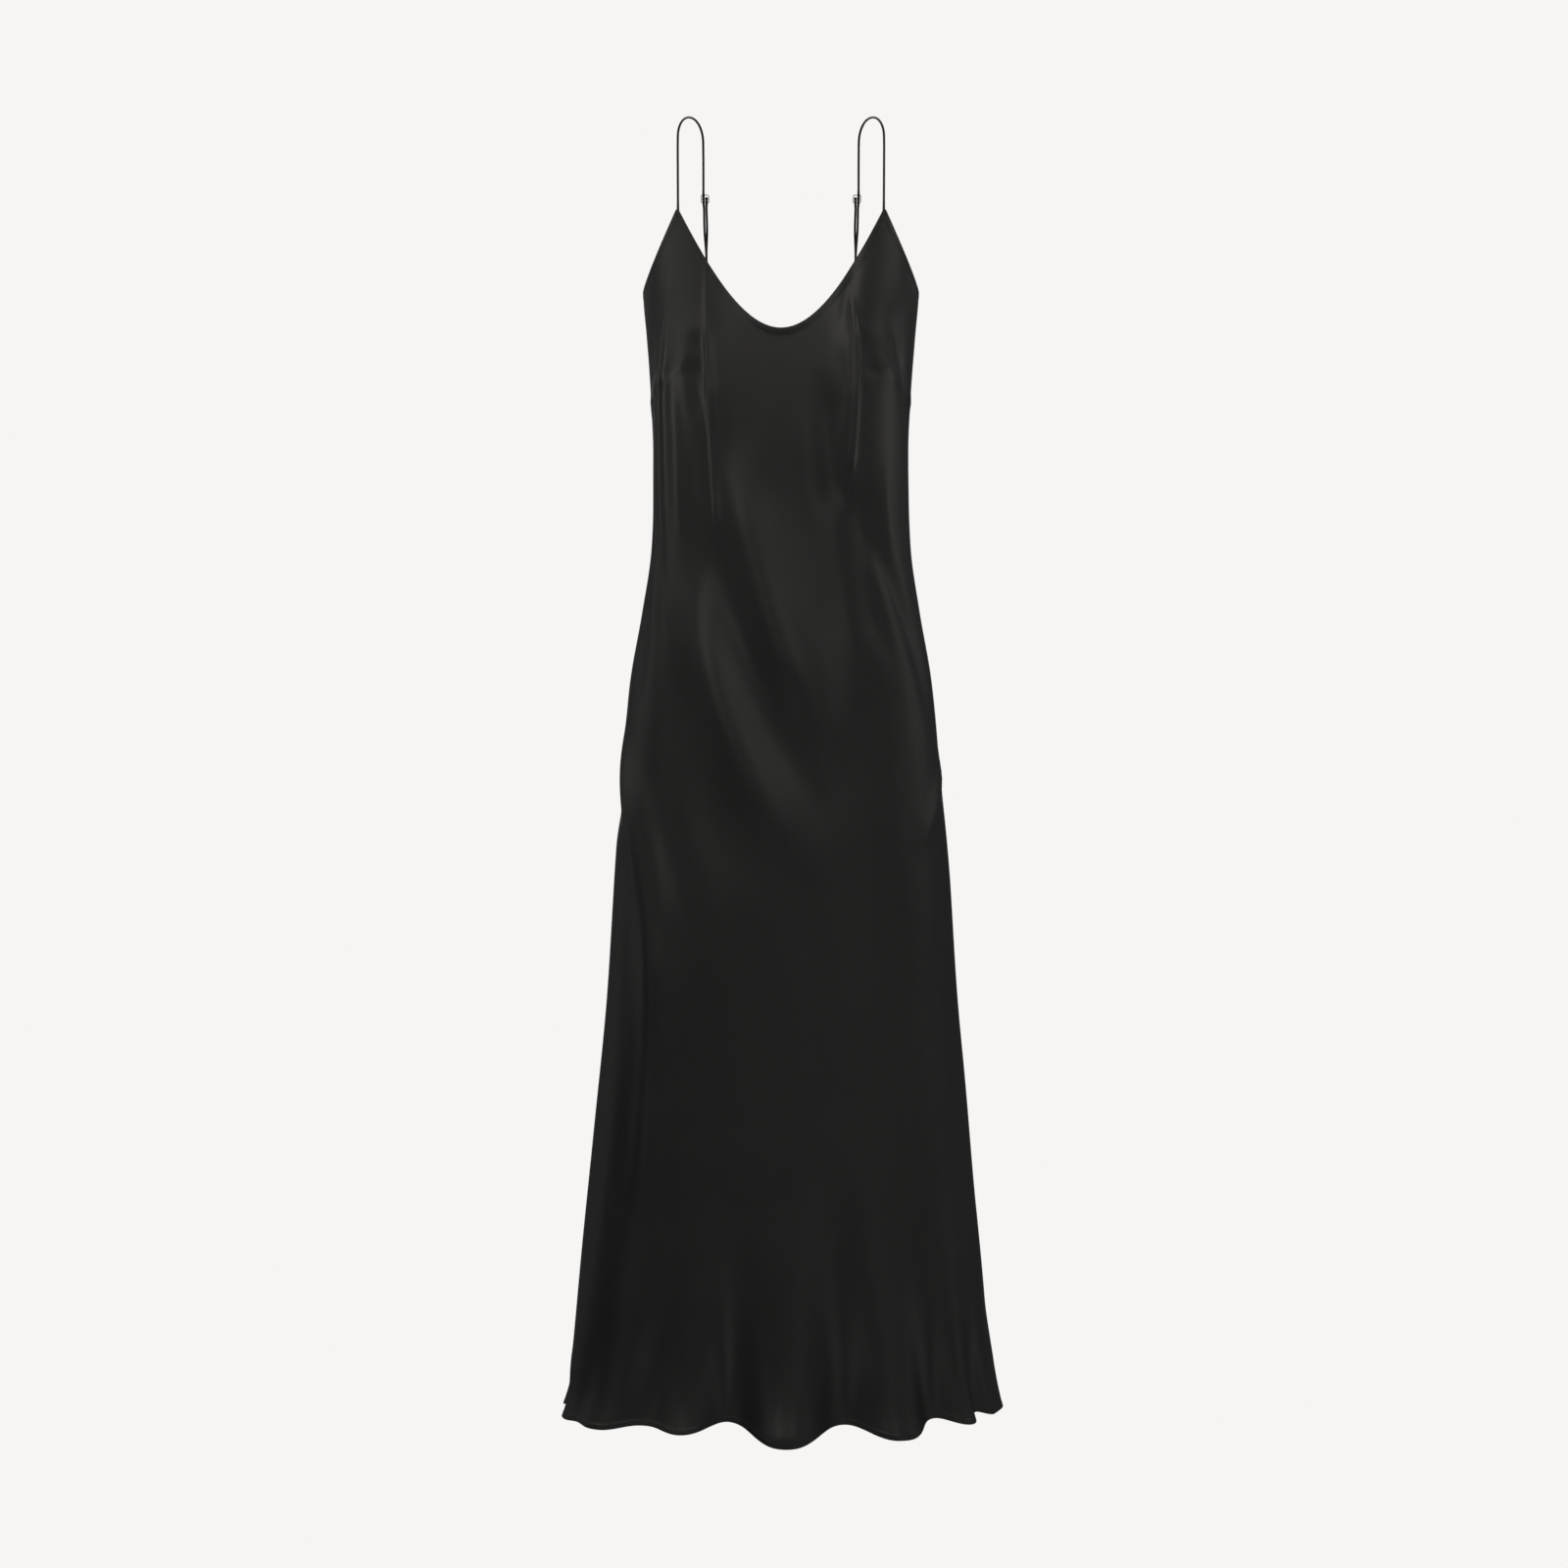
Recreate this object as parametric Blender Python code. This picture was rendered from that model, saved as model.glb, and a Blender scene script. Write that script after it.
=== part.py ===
"""A long bias-cut satin slip dress, open and hollow as it is worn, carried by two thin straps.

Run with: blender --background --python part.py
Metres, +Z up, the front of the dress towards -Y. The origin is on the shoulder line, midway between the
straps, at the underside of their highest points. A drop is a distance below that line.
"""

import math
from collections import namedtuple

import bmesh
import bpy
import numpy as np
from mathutils import Vector

# Cloth and seams
CLOTH = 0.0012  # wall of the satin
SEAM_GAP = 0.0003  # between pieces that are sewn to each other

# Front neckline, a rounded V: a hyperbola that rises from its lowest point to the two strap points
NECK_DROP = 0.2328
NECK_RISE = 0.278
NECK_SPREAD = 0.10
POINT_ACROSS = 0.1073  # from the centre line to each strap point
POINT_WIDTH = 0.0026  # the flat tip of each strap point
UNDERARM_DROP = 0.184

# Back neckline, a scoop between two lower strap points
BACK_POINT_ACROSS = 0.0785
BACK_POINT_DROP = 0.200
BACK_NECK_DROP = 0.268
BACK_NECK_ROUND = 1.3  # above 1 the scoop is narrower towards its lowest point
BACK_ARMHOLE_SAG = 0.009

# Hem
HEM_DROP = 1.3512
HEM_DIP = 0.50  # a flute that stands out by 1 hangs lower by this share

# Bust, shaped by a dart from each side seam
CUP_ACROSS = 0.080
CUP_DROP = 0.266
CUP_OUT = 0.009
CUP_WIDTH = 0.038
CUP_ABOVE = 0.066
CUP_BELOW = 0.085

# Cross-sections fill out beyond an ellipse by this share between their axes
SQUARENESS = 0.10

# Folds and flutes
FOLD_FADE = 3  # a fold fades in and out over its length divided by this
FLUTE_GROWTH = 2.2  # power with which a flute deepens towards the hem
FLUTE_SPREAD = 1.3  # width of a flute at its upper end, as a share of its width at the hem
FLUTE_LIMIT = 1.1  # a flute stops growing a tenth of its reach below the hem
FLUTE_ROUNDNESS = 2.6  # above 2 a flute is flatter on top and steeper at its sides
HEM_FLARE = 0.006  # the last stretch above the hem kicks out by this much
HEM_FLARE_REACH = 0.07

# Straps, turned tubes of satin pressed flat where they are sewn or pass a slider
Flat = namedtuple("Flat", "half_width half_thick")
Station = namedtuple("Station", "point half_width half_thick")
STRAP_RADIUS = 0.00125
STRAP_FLAT = Flat(0.0014, 0.0006)
STRAP_SIDES = 8
STRAP_TUCK = 0.010  # length sewn to the inside of a point
TUCK_SHARES = (1.0, 0.5, 0.0)  # stations of that length, from its deep end to the edge of the cloth
TAB_TUCK_END = 0.05  # share of the length at which the tab's inner end leaves it
POINT_ROWS = 0.004  # spacing of the rows from which a strap point's directions are read
POINT_STEP = 0.01  # step across the panel for the same purpose
PRESS_LENGTH = 0.2  # share of a straight run over which a strap goes from pressed flat to round
RISE_SHARES = (0.08, 0.25, 0.5, 0.75)  # stations from the front point up to the shoulder
FALL_SHARES = (0.3, 0.6, 0.8, 0.92)  # stations from the shoulder down to the slider
SHOULDER_RADIUS = 0.052
SHOULDER_STATIONS = 15
SHIFT_FROM, SHIFT_TO = math.radians(150), math.radians(40)  # where a strap moves inwards over the shoulder
LEG_OFFSET = 0.0016  # half the distance between the two legs of the doubled strap at the slider
LEGS_ROUND_FROM = 0.0105  # below the slider's centre bar, where the legs are no longer pressed flat
LEG_HALF_PRESSED = 0.6  # share of that distance at which a leg is half pressed
LEG_STATIONS = 11
LEGS_TURN = 0.5  # share of the legs over which they go from side by side to one behind the other
LOOP_STATIONS = 7  # where a strap or tab turns back round wire
TAIL = 0.0018  # the sewn end of the strap, past the slider's centre bar
TAB_REACH = 0.0056  # from the back's strap point up to the ring's wire

# Sliders and rings, bent from wire
WIRE_RADIUS = 0.00045
WIRE_SIDES = 6
RING_RADIUS = 0.0036
SLIDER_ACROSS = 0.0812  # from the centre line
SLIDER_FROM_ARC = 0.0346  # down the back strap from where it leaves the shoulder
SLIDER_HALF_WIDTH = 0.0039
SLIDER_BAR_SPACING = 0.00405
SLIDER_CORNER = 0.0011
SLIDER_CORNER_STATIONS = 4
SLIDER_STATIONS = 9  # of the strap between a slider's top and bottom bars
RING_STATIONS = 20
SHARP_FROM = math.radians(50)  # edges sharper than this stay crisp
WEAVE = WIRE_RADIUS + SEAM_GAP + STRAP_FLAT.half_thick  # from a slider's bar to the middle of the strap on it

# Columns of each panel between its seams and its strap points, and rows of each of its three bands
SIDE_COLUMNS = 9
NECK_COLUMNS = 10
YOKE_ROWS = 8
BODY_ROWS = 24
HEM_ROWS = 4
YOKE_END = 0.295
BODY_END = 1.24
FIRST_BODY_ROW = 0.55  # height of the first body row as a share of an even one
EDGE_PASSES = 12  # repeats that find where a column meets its top edge
PLACE_STEPS = 2001  # places tried to find the one at a given distance from the centre line

Section = namedtuple("Section", "drop half_width front back")
SECTIONS = [
    Section(0.10, 0.1450, 0.093, 0.088),
    Section(0.18, 0.1450, 0.1045, 0.096),
    Section(0.23, 0.1412, 0.1085, 0.096),
    Section(0.27, 0.1380, 0.1110, 0.093),
    Section(0.31, 0.1354, 0.1118, 0.088),
    Section(0.35, 0.1340, 0.1115, 0.083),
    Section(0.41, 0.1347, 0.1095, 0.079),
    Section(0.45, 0.1364, 0.1090, 0.083),
    Section(0.52, 0.1461, 0.1105, 0.097),
    Section(0.59, 0.1582, 0.1135, 0.112),
    Section(0.66, 0.1653, 0.116, 0.119),
    Section(0.77, 0.1738, 0.121, 0.120),
    Section(0.92, 0.1829, 0.128, 0.124),
    Section(1.06, 0.1965, 0.137, 0.132),
    Section(1.21, 0.2115, 0.148, 0.142),
    Section(1.36, 0.2240, 0.157, 0.151),
]

# Soft folds that fade out at both ends. start, middle and end are places across the panel, from -1 at the
# left seam to 1 at the right seam. width is the distance at which a fold has lost most of its height.
Fold = namedtuple("Fold", "top bottom start middle end width out")
FRONT_FOLDS = [
    Fold(0.19, 0.60, -0.60, -0.76, -0.56, 0.013, 0.0045),
    Fold(0.18, 0.40, -0.31, -0.295, -0.28, 0.009, 0.0028),
    Fold(0.23, 0.30, -0.38, -0.36, -0.33, 0.010, -0.0030),
    Fold(0.26, 0.42, 0.31, 0.315, 0.345, 0.010, 0.0035),
    Fold(0.235, 0.29, 0.38, 0.40, 0.43, 0.011, -0.0030),
    Fold(0.20, 0.34, 0.56, 0.68, 0.90, 0.013, -0.0030),
    Fold(0.27, 0.44, 0.19, 0.22, 0.26, 0.015, -0.0045),
    Fold(0.36, 0.60, 0.44, 0.41, 0.50, 0.016, -0.0045),
    Fold(0.34, 0.68, -0.24, -0.06, 0.22, 0.022, 0.0085),
    Fold(0.42, 0.76, -0.30, -0.11, 0.20, 0.020, -0.0050),
    Fold(0.47, 0.82, -0.46, -0.19, 0.13, 0.021, 0.0065),
    Fold(0.50, 0.84, -0.62, -0.36, -0.08, 0.024, -0.0020),
    Fold(0.58, 1.02, -1.14, -0.56, -0.47, 0.022, 0.0085),
    Fold(0.80, 1.18, -0.51, -0.47, -0.45, 0.020, 0.0050),
    Fold(0.50, 0.70, 0.28, 0.26, 0.22, 0.017, 0.0020),
    Fold(0.66, 0.78, 0.98, 0.76, 0.54, 0.015, 0.0035),
]
BACK_FOLDS = [
    Fold(0.24, 0.46, -0.42, -0.36, -0.34, 0.016, -0.0040),
    Fold(0.25, 0.50, 0.44, 0.40, 0.33, 0.017, -0.0035),
    Fold(0.30, 0.44, 0.82, 0.66, 0.52, 0.014, 0.0035),
    Fold(0.34, 0.62, -0.62, -0.34, -0.02, 0.019, 0.0050),
    Fold(0.37, 0.60, -0.34, -0.10, 0.16, 0.018, -0.0045),
    Fold(0.36, 0.56, 0.02, 0.16, 0.36, 0.016, 0.0040),
    Fold(0.42, 0.70, 0.66, 0.44, 0.10, 0.020, 0.0050),
    Fold(0.46, 0.78, 0.84, 0.60, 0.24, 0.020, -0.0045),
    Fold(0.60, 1.05, 0.50, 0.46, 0.36, 0.026, 0.0050),
    Fold(0.66, 1.15, -0.58, -0.52, -0.56, 0.028, 0.0050),
]

# Flutes that grow towards the hem. around is a flute's place at the hem, lean how far that place moves by
# the flute's upper end, and reach how far above the hem that end is.
Flute = namedtuple("Flute", "around lean width reach out")
FRONT_FLUTES = [
    Flute(-0.96, 0.04, 0.050, 0.14, 0.0015),
    Flute(-0.80, 0.42, 0.038, 0.42, 0.007),
    Flute(-0.55, 0.20, 0.030, 0.34, 0.009),
    Flute(-0.40, 0.12, 0.024, 0.26, -0.004),
    Flute(-0.25, 0.00, 0.024, 0.34, 0.008),
    Flute(-0.13, 0.02, 0.025, 0.32, -0.018),
    Flute(0.005, -0.02, 0.032, 0.52, 0.026),
    Flute(0.165, -0.02, 0.024, 0.30, -0.012),
    Flute(0.32, -0.10, 0.030, 0.46, 0.017),
    Flute(0.46, -0.04, 0.023, 0.28, -0.013),
    Flute(0.61, -0.04, 0.022, 0.30, 0.004),
    Flute(0.70, 0.00, 0.018, 0.24, -0.011),
]
BACK_FLUTES = [
    Flute(-0.80, 0.06, 0.028, 0.36, 0.012),
    Flute(-0.63, 0.05, 0.024, 0.26, -0.014),
    Flute(-0.45, 0.06, 0.030, 0.52, 0.020),
    Flute(-0.26, 0.02, 0.026, 0.30, -0.016),
    Flute(-0.06, 0.03, 0.030, 0.46, 0.022),
    Flute(0.15, -0.02, 0.026, 0.34, -0.018),
    Flute(0.34, -0.05, 0.028, 0.54, 0.019),
    Flute(0.54, -0.02, 0.024, 0.28, -0.014),
    Flute(0.74, -0.06, 0.030, 0.42, 0.014),
]

FRONT, BACK = -1, 1  # the sign of Y on each panel
SEAM_TO_SEAM = 2  # both panels together are twice this far around

StrapPlaces = namedtuple(
    "StrapPlaces",
    "sewn tip_down front_angle back_angle arc_start arc_end slider outer along away ring"
    " seat seat_out seat_down",
)


def material(name, colour, roughness, metallic=0.0):
    """A Principled material with one colour."""
    made = bpy.data.materials.new(name)
    made.use_nodes = True
    shader = made.node_tree.nodes["Principled BSDF"]
    shader.inputs["Base Color"].default_value = (*colour, 1)
    shader.inputs["Roughness"].default_value = roughness
    shader.inputs["Metallic"].default_value = metallic
    made.diffuse_color = (*colour, 1)
    return made


def smoothstep(value):
    """0 up to 0, 1 from 1, and a smooth rise between."""
    t = np.clip(value, 0, 1)
    return t * t * (3 - 2 * t)


def curve_through(at, values):
    """A smooth function through the values that never overshoots them."""
    at, values = np.array(at), np.array(values)
    step = np.diff(at)
    rise = np.diff(values) / step
    slope = np.zeros(len(at))
    slope[0], slope[-1] = rise[0], rise[-1]
    for i in range(1, len(at) - 1):
        if rise[i - 1] * rise[i] > 0:
            before, after = 2 * step[i] + step[i - 1], step[i] + 2 * step[i - 1]
            slope[i] = (before + after) / (before / rise[i - 1] + after / rise[i])

    def read(where):
        where = np.clip(where, at[0], at[-1])
        i = np.clip(np.searchsorted(at, where) - 1, 0, len(step) - 1)
        t = (where - at[i]) / step[i]
        blend = t * t * (3 - 2 * t)
        start_pull = t * (1 - t) ** 2 * step[i] * slope[i]
        end_pull = t * t * (t - 1) * step[i] * slope[i + 1]
        return values[i] + (values[i + 1] - values[i]) * blend + start_pull + end_pull

    return read


drops = [row.drop for row in SECTIONS]
half_width = curve_through(drops, [row.half_width for row in SECTIONS])
depth = {
    FRONT: curve_through(drops, [row.front for row in SECTIONS]),
    BACK: curve_through(drops, [row.back for row in SECTIONS]),
}


def plain_section(side, around, drop):
    """X and Y of a point on a panel's smooth form, and the X and Y of its outward direction."""
    angle = around * math.pi / 2
    sine, cosine = np.sin(angle), np.cos(angle)
    width, deep = half_width(drop), depth[side](drop)
    x = width * sine * (1 + SQUARENESS * cosine**2)
    y = deep * cosine * (1 + SQUARENESS * sine**2)
    along_x = width * cosine * (1 + SQUARENESS * (cosine**2 - 2 * sine**2))
    along_y = -deep * sine * (1 + SQUARENESS * (sine**2 - 2 * cosine**2))
    length = np.hypot(along_x, along_y)
    return x, side * y, -along_y / length, side * along_x / length


def loop_place(side, around):
    """A place counted once round: 0 at the front centre, 1 at the right seam, 2 at the back centre."""
    return around if side == FRONT else SEAM_TO_SEAM - around


def distance_along(side, around, drop, owner, place):
    """Distance along the cloth from a place across one panel, also where it is reached over a side seam."""
    turns = loop_place(side, around) - loop_place(owner, place)
    turns = (turns + SEAM_TO_SEAM) % (2 * SEAM_TO_SEAM) - SEAM_TO_SEAM
    mean_depth = (depth[FRONT](drop) + depth[BACK](drop)) / 2
    quarter = math.pi / 2 * np.sqrt((half_width(drop) ** 2 + mean_depth**2) / 2)
    return turns * quarter


def fold_height(fold, owner, side, around, drop):
    """How far one fold lifts the cloth, with soft ends and a path bent through its middle place."""
    t = (drop - fold.top) / (fold.bottom - fold.top)
    bend = 4 * fold.middle - 3 * fold.start - fold.end
    path = fold.start + bend * t + (fold.end - fold.start - bend) * t * t
    away = distance_along(side, around, drop, owner, path) / fold.width
    return fold.out * np.exp(-(away**2)) * smoothstep(t * FOLD_FADE) * smoothstep((1 - t) * FOLD_FADE)


def flute_height(flute, owner, side, around, drop):
    """How far one flute lifts the cloth, from nothing at its upper end to its full depth at the hem."""
    t = np.clip(1 - (HEM_DROP - drop) / flute.reach, 0, FLUTE_LIMIT)
    path = flute.around + flute.lean * (1 - t)
    width = flute.width * (FLUTE_SPREAD + (1 - FLUTE_SPREAD) * t)
    away = np.abs(distance_along(side, around, drop, owner, path)) / width
    return flute.out * np.exp(-(away**FLUTE_ROUNDNESS)) * t**FLUTE_GROWTH


def flare_height(drop):
    """How far the last stretch above the hem kicks out, the same all round."""
    return HEM_FLARE * np.clip(1 - (HEM_DROP - drop) / HEM_FLARE_REACH, 0, FLUTE_LIMIT) ** 2


def cup_height(around, drop, x):
    """The roundness that each bust dart gives the front, gone at the side seams."""
    above = np.where(drop < CUP_DROP, CUP_ABOVE, CUP_BELOW)
    upright = np.exp(-(((drop - CUP_DROP) / above) ** 2))
    sideways = np.exp(-(((np.abs(x) - CUP_ACROSS) / CUP_WIDTH) ** 2))
    return CUP_OUT * upright * sideways * np.cos(around * math.pi / 2)


def relief(side, around, drop):
    """Everything that lifts the cloth off its smooth form."""
    height = np.zeros(np.broadcast(around, drop).shape) + flare_height(drop)
    for owner, folds, flutes in ((FRONT, FRONT_FOLDS, FRONT_FLUTES), (BACK, BACK_FOLDS, BACK_FLUTES)):
        height = height + sum(fold_height(fold, owner, side, around, drop) for fold in folds)
        height = height + sum(flute_height(flute, owner, side, around, drop) for flute in flutes)
    if side == FRONT:
        height = height + cup_height(around, drop, plain_section(side, around, drop)[0])
    return height


def cloth_points(side, around, drop):
    """Points in the middle of the cloth's wall, half a seam's gap away from the other panel."""
    x, y, out_x, out_y = plain_section(side, around, drop)
    height = relief(side, around, drop)
    across = x + height * out_x
    forward = y + height * out_y + side * SEAM_GAP / 2
    return np.stack([across, forward, np.broadcast_to(-drop, across.shape)], axis=-1)


def neck_drop(x):
    """The front neckline at a distance from the centre line."""
    return NECK_DROP - NECK_RISE * (np.sqrt(1 + (x / NECK_SPREAD) ** 2) - 1)


def tip_drop():
    """The drop of the flat tip of each front strap point."""
    return float(neck_drop(POINT_ACROSS - POINT_WIDTH / 2))


def front_edge_drop(x, drop):
    """The front's top edge seen from the front: the neckline, a flat tip, and the straight armhole edge."""
    x = np.abs(x)
    tip_end = POINT_ACROSS + POINT_WIDTH / 2
    share = (x - tip_end) / (half_width(drop) - tip_end)
    armhole = tip_drop() + (UNDERARM_DROP - tip_drop()) * np.clip(share, 0, 1)
    return np.where(x < POINT_ACROSS, np.maximum(neck_drop(x), tip_drop()), armhole)


def back_edge_drop(x, drop):
    """The back's top edge: a scoop between its strap points, and a slack edge from each to the underarm."""
    x = np.abs(x)
    inner_end = BACK_POINT_ACROSS - POINT_WIDTH / 2
    outer_end = BACK_POINT_ACROSS + POINT_WIDTH / 2
    hollow = np.cos(np.clip(x / inner_end, 0, 1) * math.pi / 2) ** BACK_NECK_ROUND
    scoop = BACK_POINT_DROP + (BACK_NECK_DROP - BACK_POINT_DROP) * hollow
    share = np.clip((x - outer_end) / (half_width(drop) - outer_end), 0, 1)
    armhole = BACK_POINT_DROP + (UNDERARM_DROP - BACK_POINT_DROP) * share**2
    armhole = armhole + BACK_ARMHOLE_SAG * np.sin(share * math.pi)
    return np.where(x < BACK_POINT_ACROSS, scoop, armhole)


EDGE_DROP = {FRONT: front_edge_drop, BACK: back_edge_drop}


def top_drop(side, around):
    """The drop at which a column of the panel meets the top edge, found by repeating from the underarm's."""
    drop = np.full(np.shape(around), UNDERARM_DROP)
    for _ in range(EDGE_PASSES):
        drop = EDGE_DROP[side](plain_section(side, around, drop)[0], drop)
    return drop


def hem_drop(side, around):
    """The drop of the hem, lower on the flutes that stand out."""
    return HEM_DROP + HEM_DIP * relief(side, around, np.full(np.shape(around), HEM_DROP))


def around_at(side, x, drop):
    """The place across a panel whose smooth form is x from the centre line at this drop."""
    tries = np.linspace(0, 1, PLACE_STEPS)
    return float(np.interp(x, plain_section(side, tries, np.full(tries.shape, drop))[0], tries))


def panel_columns(point_start, point_end):
    """Places across a panel, denser where its strap points are, the same on both sides."""
    neck = np.linspace(0, point_start, NECK_COLUMNS + 1)
    outside = np.linspace(point_end, 1, SIDE_COLUMNS + 1)
    half = np.concatenate([neck, outside])
    return np.concatenate([-half[:0:-1], half])


def panel_rows(top, hem):
    """Drops of a column's points: a band under the top edge, level rows, and a band above the hem."""
    yoke = top + (YOKE_END - top) * np.linspace(0, 1, YOKE_ROWS + 1)[:-1, None]
    share = np.linspace(0, 1, BODY_ROWS + 1)
    share = share * FIRST_BODY_ROW + share**2 * (1 - FIRST_BODY_ROW)
    body = (YOKE_END + (BODY_END - YOKE_END) * share)[:-1, None] + np.zeros_like(top)
    skirt = BODY_END + (hem - BODY_END) * np.linspace(0, 1, HEM_ROWS + 1)[:, None]
    return np.concatenate([yoke, body, skirt])


def wall_directions(points, side):
    """The outward direction at each point of a grid, level with the seams along its two edges."""
    down = np.gradient(points, axis=0)
    across = np.gradient(points, axis=1)
    normal = np.cross(across, down) * side
    normal[:, [0, -1], 1] = 0
    return normal / np.linalg.norm(normal, axis=2, keepdims=True)


def closed_wall(name, outer, inner, made_of):
    """A solid between two grids of points, with its four edges closed."""
    mesh = bmesh.new()
    layers = [[[mesh.verts.new(p) for p in row] for row in grid] for grid in (outer, inner)]
    rows, columns = outer.shape[0] - 1, outer.shape[1] - 1
    for layer in layers:
        for i in range(rows):
            for j in range(columns):
                mesh.faces.new((layer[i][j], layer[i][j + 1], layer[i + 1][j + 1], layer[i + 1][j]))
    rim = [(0, j) for j in range(columns)] + [(i, columns) for i in range(rows)]
    rim += [(rows, j) for j in range(columns, 0, -1)] + [(i, 0) for i in range(rows, 0, -1)]
    for (i, j), (k, m) in zip(rim, rim[1:] + rim[:1]):
        mesh.faces.new((layers[0][i][j], layers[0][k][m], layers[1][k][m], layers[1][i][j]))
    return finish(name, mesh, made_of)


def finish(name, mesh, made_of):
    """An object from a bmesh, with its faces pointing out and its round faces shaded smooth."""
    bmesh.ops.recalc_face_normals(mesh, faces=mesh.faces)
    data = bpy.data.meshes.new(name)
    mesh.to_mesh(data)
    mesh.free()
    data.materials.append(made_of)
    data.shade_smooth()
    data.set_sharp_from_angle(angle=SHARP_FROM)
    made = bpy.data.objects.new(name, data)
    bpy.context.scene.collection.objects.link(made)
    return made


def panel(name, side, point_across, point_drop, satin):
    """One dress panel as a wall of cloth."""
    start = around_at(side, point_across - POINT_WIDTH / 2, point_drop)
    end = around_at(side, point_across + POINT_WIDTH / 2, point_drop)
    around = panel_columns(start, end)
    drop = panel_rows(top_drop(side, around), hem_drop(side, around))
    points = cloth_points(side, np.broadcast_to(around, drop.shape), drop)
    half_wall = wall_directions(points, side) * CLOTH / 2
    return closed_wall(name, points + half_wall, points - half_wall, satin)


def swept(name, stations, level, sides, made_of, closed=False):
    """A solid along stations, each with an elliptical section whose width lies along the level direction."""
    count = len(stations)
    mesh = bmesh.new()
    rings = []
    for i, station in enumerate(stations):
        before = stations[i - 1 if closed else max(i - 1, 0)].point
        after = stations[(i + 1) % count if closed else min(i + 1, count - 1)].point
        along = (after - before).normalized()
        wide = (level - along * level.dot(along)).normalized() * station.half_width
        thick = along.cross(wide).normalized() * station.half_thick
        turns = [2 * math.pi * (k + 0.5) / sides for k in range(sides)]
        section = [station.point + wide * math.cos(t) + thick * math.sin(t) for t in turns]
        rings.append([mesh.verts.new(point) for point in section])
    for ring, following in zip(rings, rings[1:] + rings[:1] if closed else rings[1:]):
        for k in range(sides):
            m = (k + 1) % sides
            mesh.faces.new((ring[k], ring[m], following[m], following[k]))
    if not closed:
        mesh.faces.new(rings[0])
        mesh.faces.new(rings[-1])
    return finish(name, mesh, made_of)


def point_frame(side, hand, across, drop):
    """The middle of the wall at a strap point, its outward direction, and the way down the cloth."""
    around = hand * around_at(side, across, drop)
    column = np.full(3, around)
    rows = drop + POINT_ROWS * np.arange(3)
    points = cloth_points(side, column, rows)
    beside = cloth_points(side, column + POINT_STEP, rows)
    down = Vector(points[2] - points[0]).normalized()
    outward = (Vector(beside[0] - points[0]).cross(down) * side).normalized()
    return Vector(points[0]), outward, down


def on_shoulder(x, angle):
    """A point of a strap's middle line on the shoulder circle, at an angle that is 90 degrees at the top."""
    radius = SHOULDER_RADIUS + STRAP_RADIUS
    return Vector((x, radius * math.cos(angle), radius * math.sin(angle) - SHOULDER_RADIUS))


def leaves_shoulder(point, side):
    """The angle at which a taut strap to a point leaves the shoulder circle."""
    y, z = point.y, point.z + SHOULDER_RADIUS
    angle = math.atan2(z, y) + side * math.acos((SHOULDER_RADIUS + STRAP_RADIUS) / math.hypot(y, z))
    return angle % (2 * math.pi)


def wire_clearance(band_half_width, band_half_thick):
    """Distance from a ring's wire to the middle of a band that bears on it, clear of the wire's curve."""
    rise = RING_RADIUS - math.sqrt(RING_RADIUS**2 - band_half_width**2)
    return WIRE_RADIUS + SEAM_GAP + band_half_thick + rise


def strap_places(hand):
    """Where one strap starts, leaves the shoulder, passes its slider and meets its ring."""
    tip, tip_out, tip_down = point_frame(FRONT, hand, POINT_ACROSS, tip_drop())
    seat, seat_out, seat_down = point_frame(BACK, hand, BACK_POINT_ACROSS, BACK_POINT_DROP)
    sewn = tip - tip_out * (CLOTH / 2 + SEAM_GAP + STRAP_FLAT.half_thick)
    ring_bottom = seat - seat_down * TAB_REACH
    front_angle = leaves_shoulder(sewn, FRONT)
    back_angle = leaves_shoulder(ring_bottom, BACK)
    arc_end = on_shoulder(hand * (SLIDER_ACROSS + LEG_OFFSET), back_angle)
    taut = ring_bottom - arc_end
    slider_at = arc_end + taut * (SLIDER_FROM_ARC / taut.length)
    slider_at.x = hand * SLIDER_ACROSS
    along = (ring_bottom - slider_at).normalized()
    return StrapPlaces(
        sewn=sewn,
        tip_down=tip_down,
        front_angle=front_angle,
        back_angle=back_angle,
        arc_start=on_shoulder(tip.x, front_angle),
        arc_end=arc_end,
        slider=slider_at,
        outer=Vector((hand, 0, 0)),
        along=along,
        away=along.cross(Vector((-1, 0, 0))).normalized(),
        ring=ring_bottom - along * RING_RADIUS,
        seat=seat,
        seat_out=seat_out,
        seat_down=seat_down,
    )


def strap_station(point, flat):
    """A station of strap, from round where flat is 0 to pressed flat where it is 1."""
    half_width = STRAP_RADIUS + (STRAP_FLAT.half_width - STRAP_RADIUS) * flat
    half_thick = STRAP_RADIUS + (STRAP_FLAT.half_thick - STRAP_RADIUS) * flat
    return Station(point, half_width, half_thick)


def by_slider(at, down, sideways, outward):
    """A point given from the middle of the slider's centre bar."""
    return at.slider + at.along * down + at.outer * sideways + at.away * outward


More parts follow.
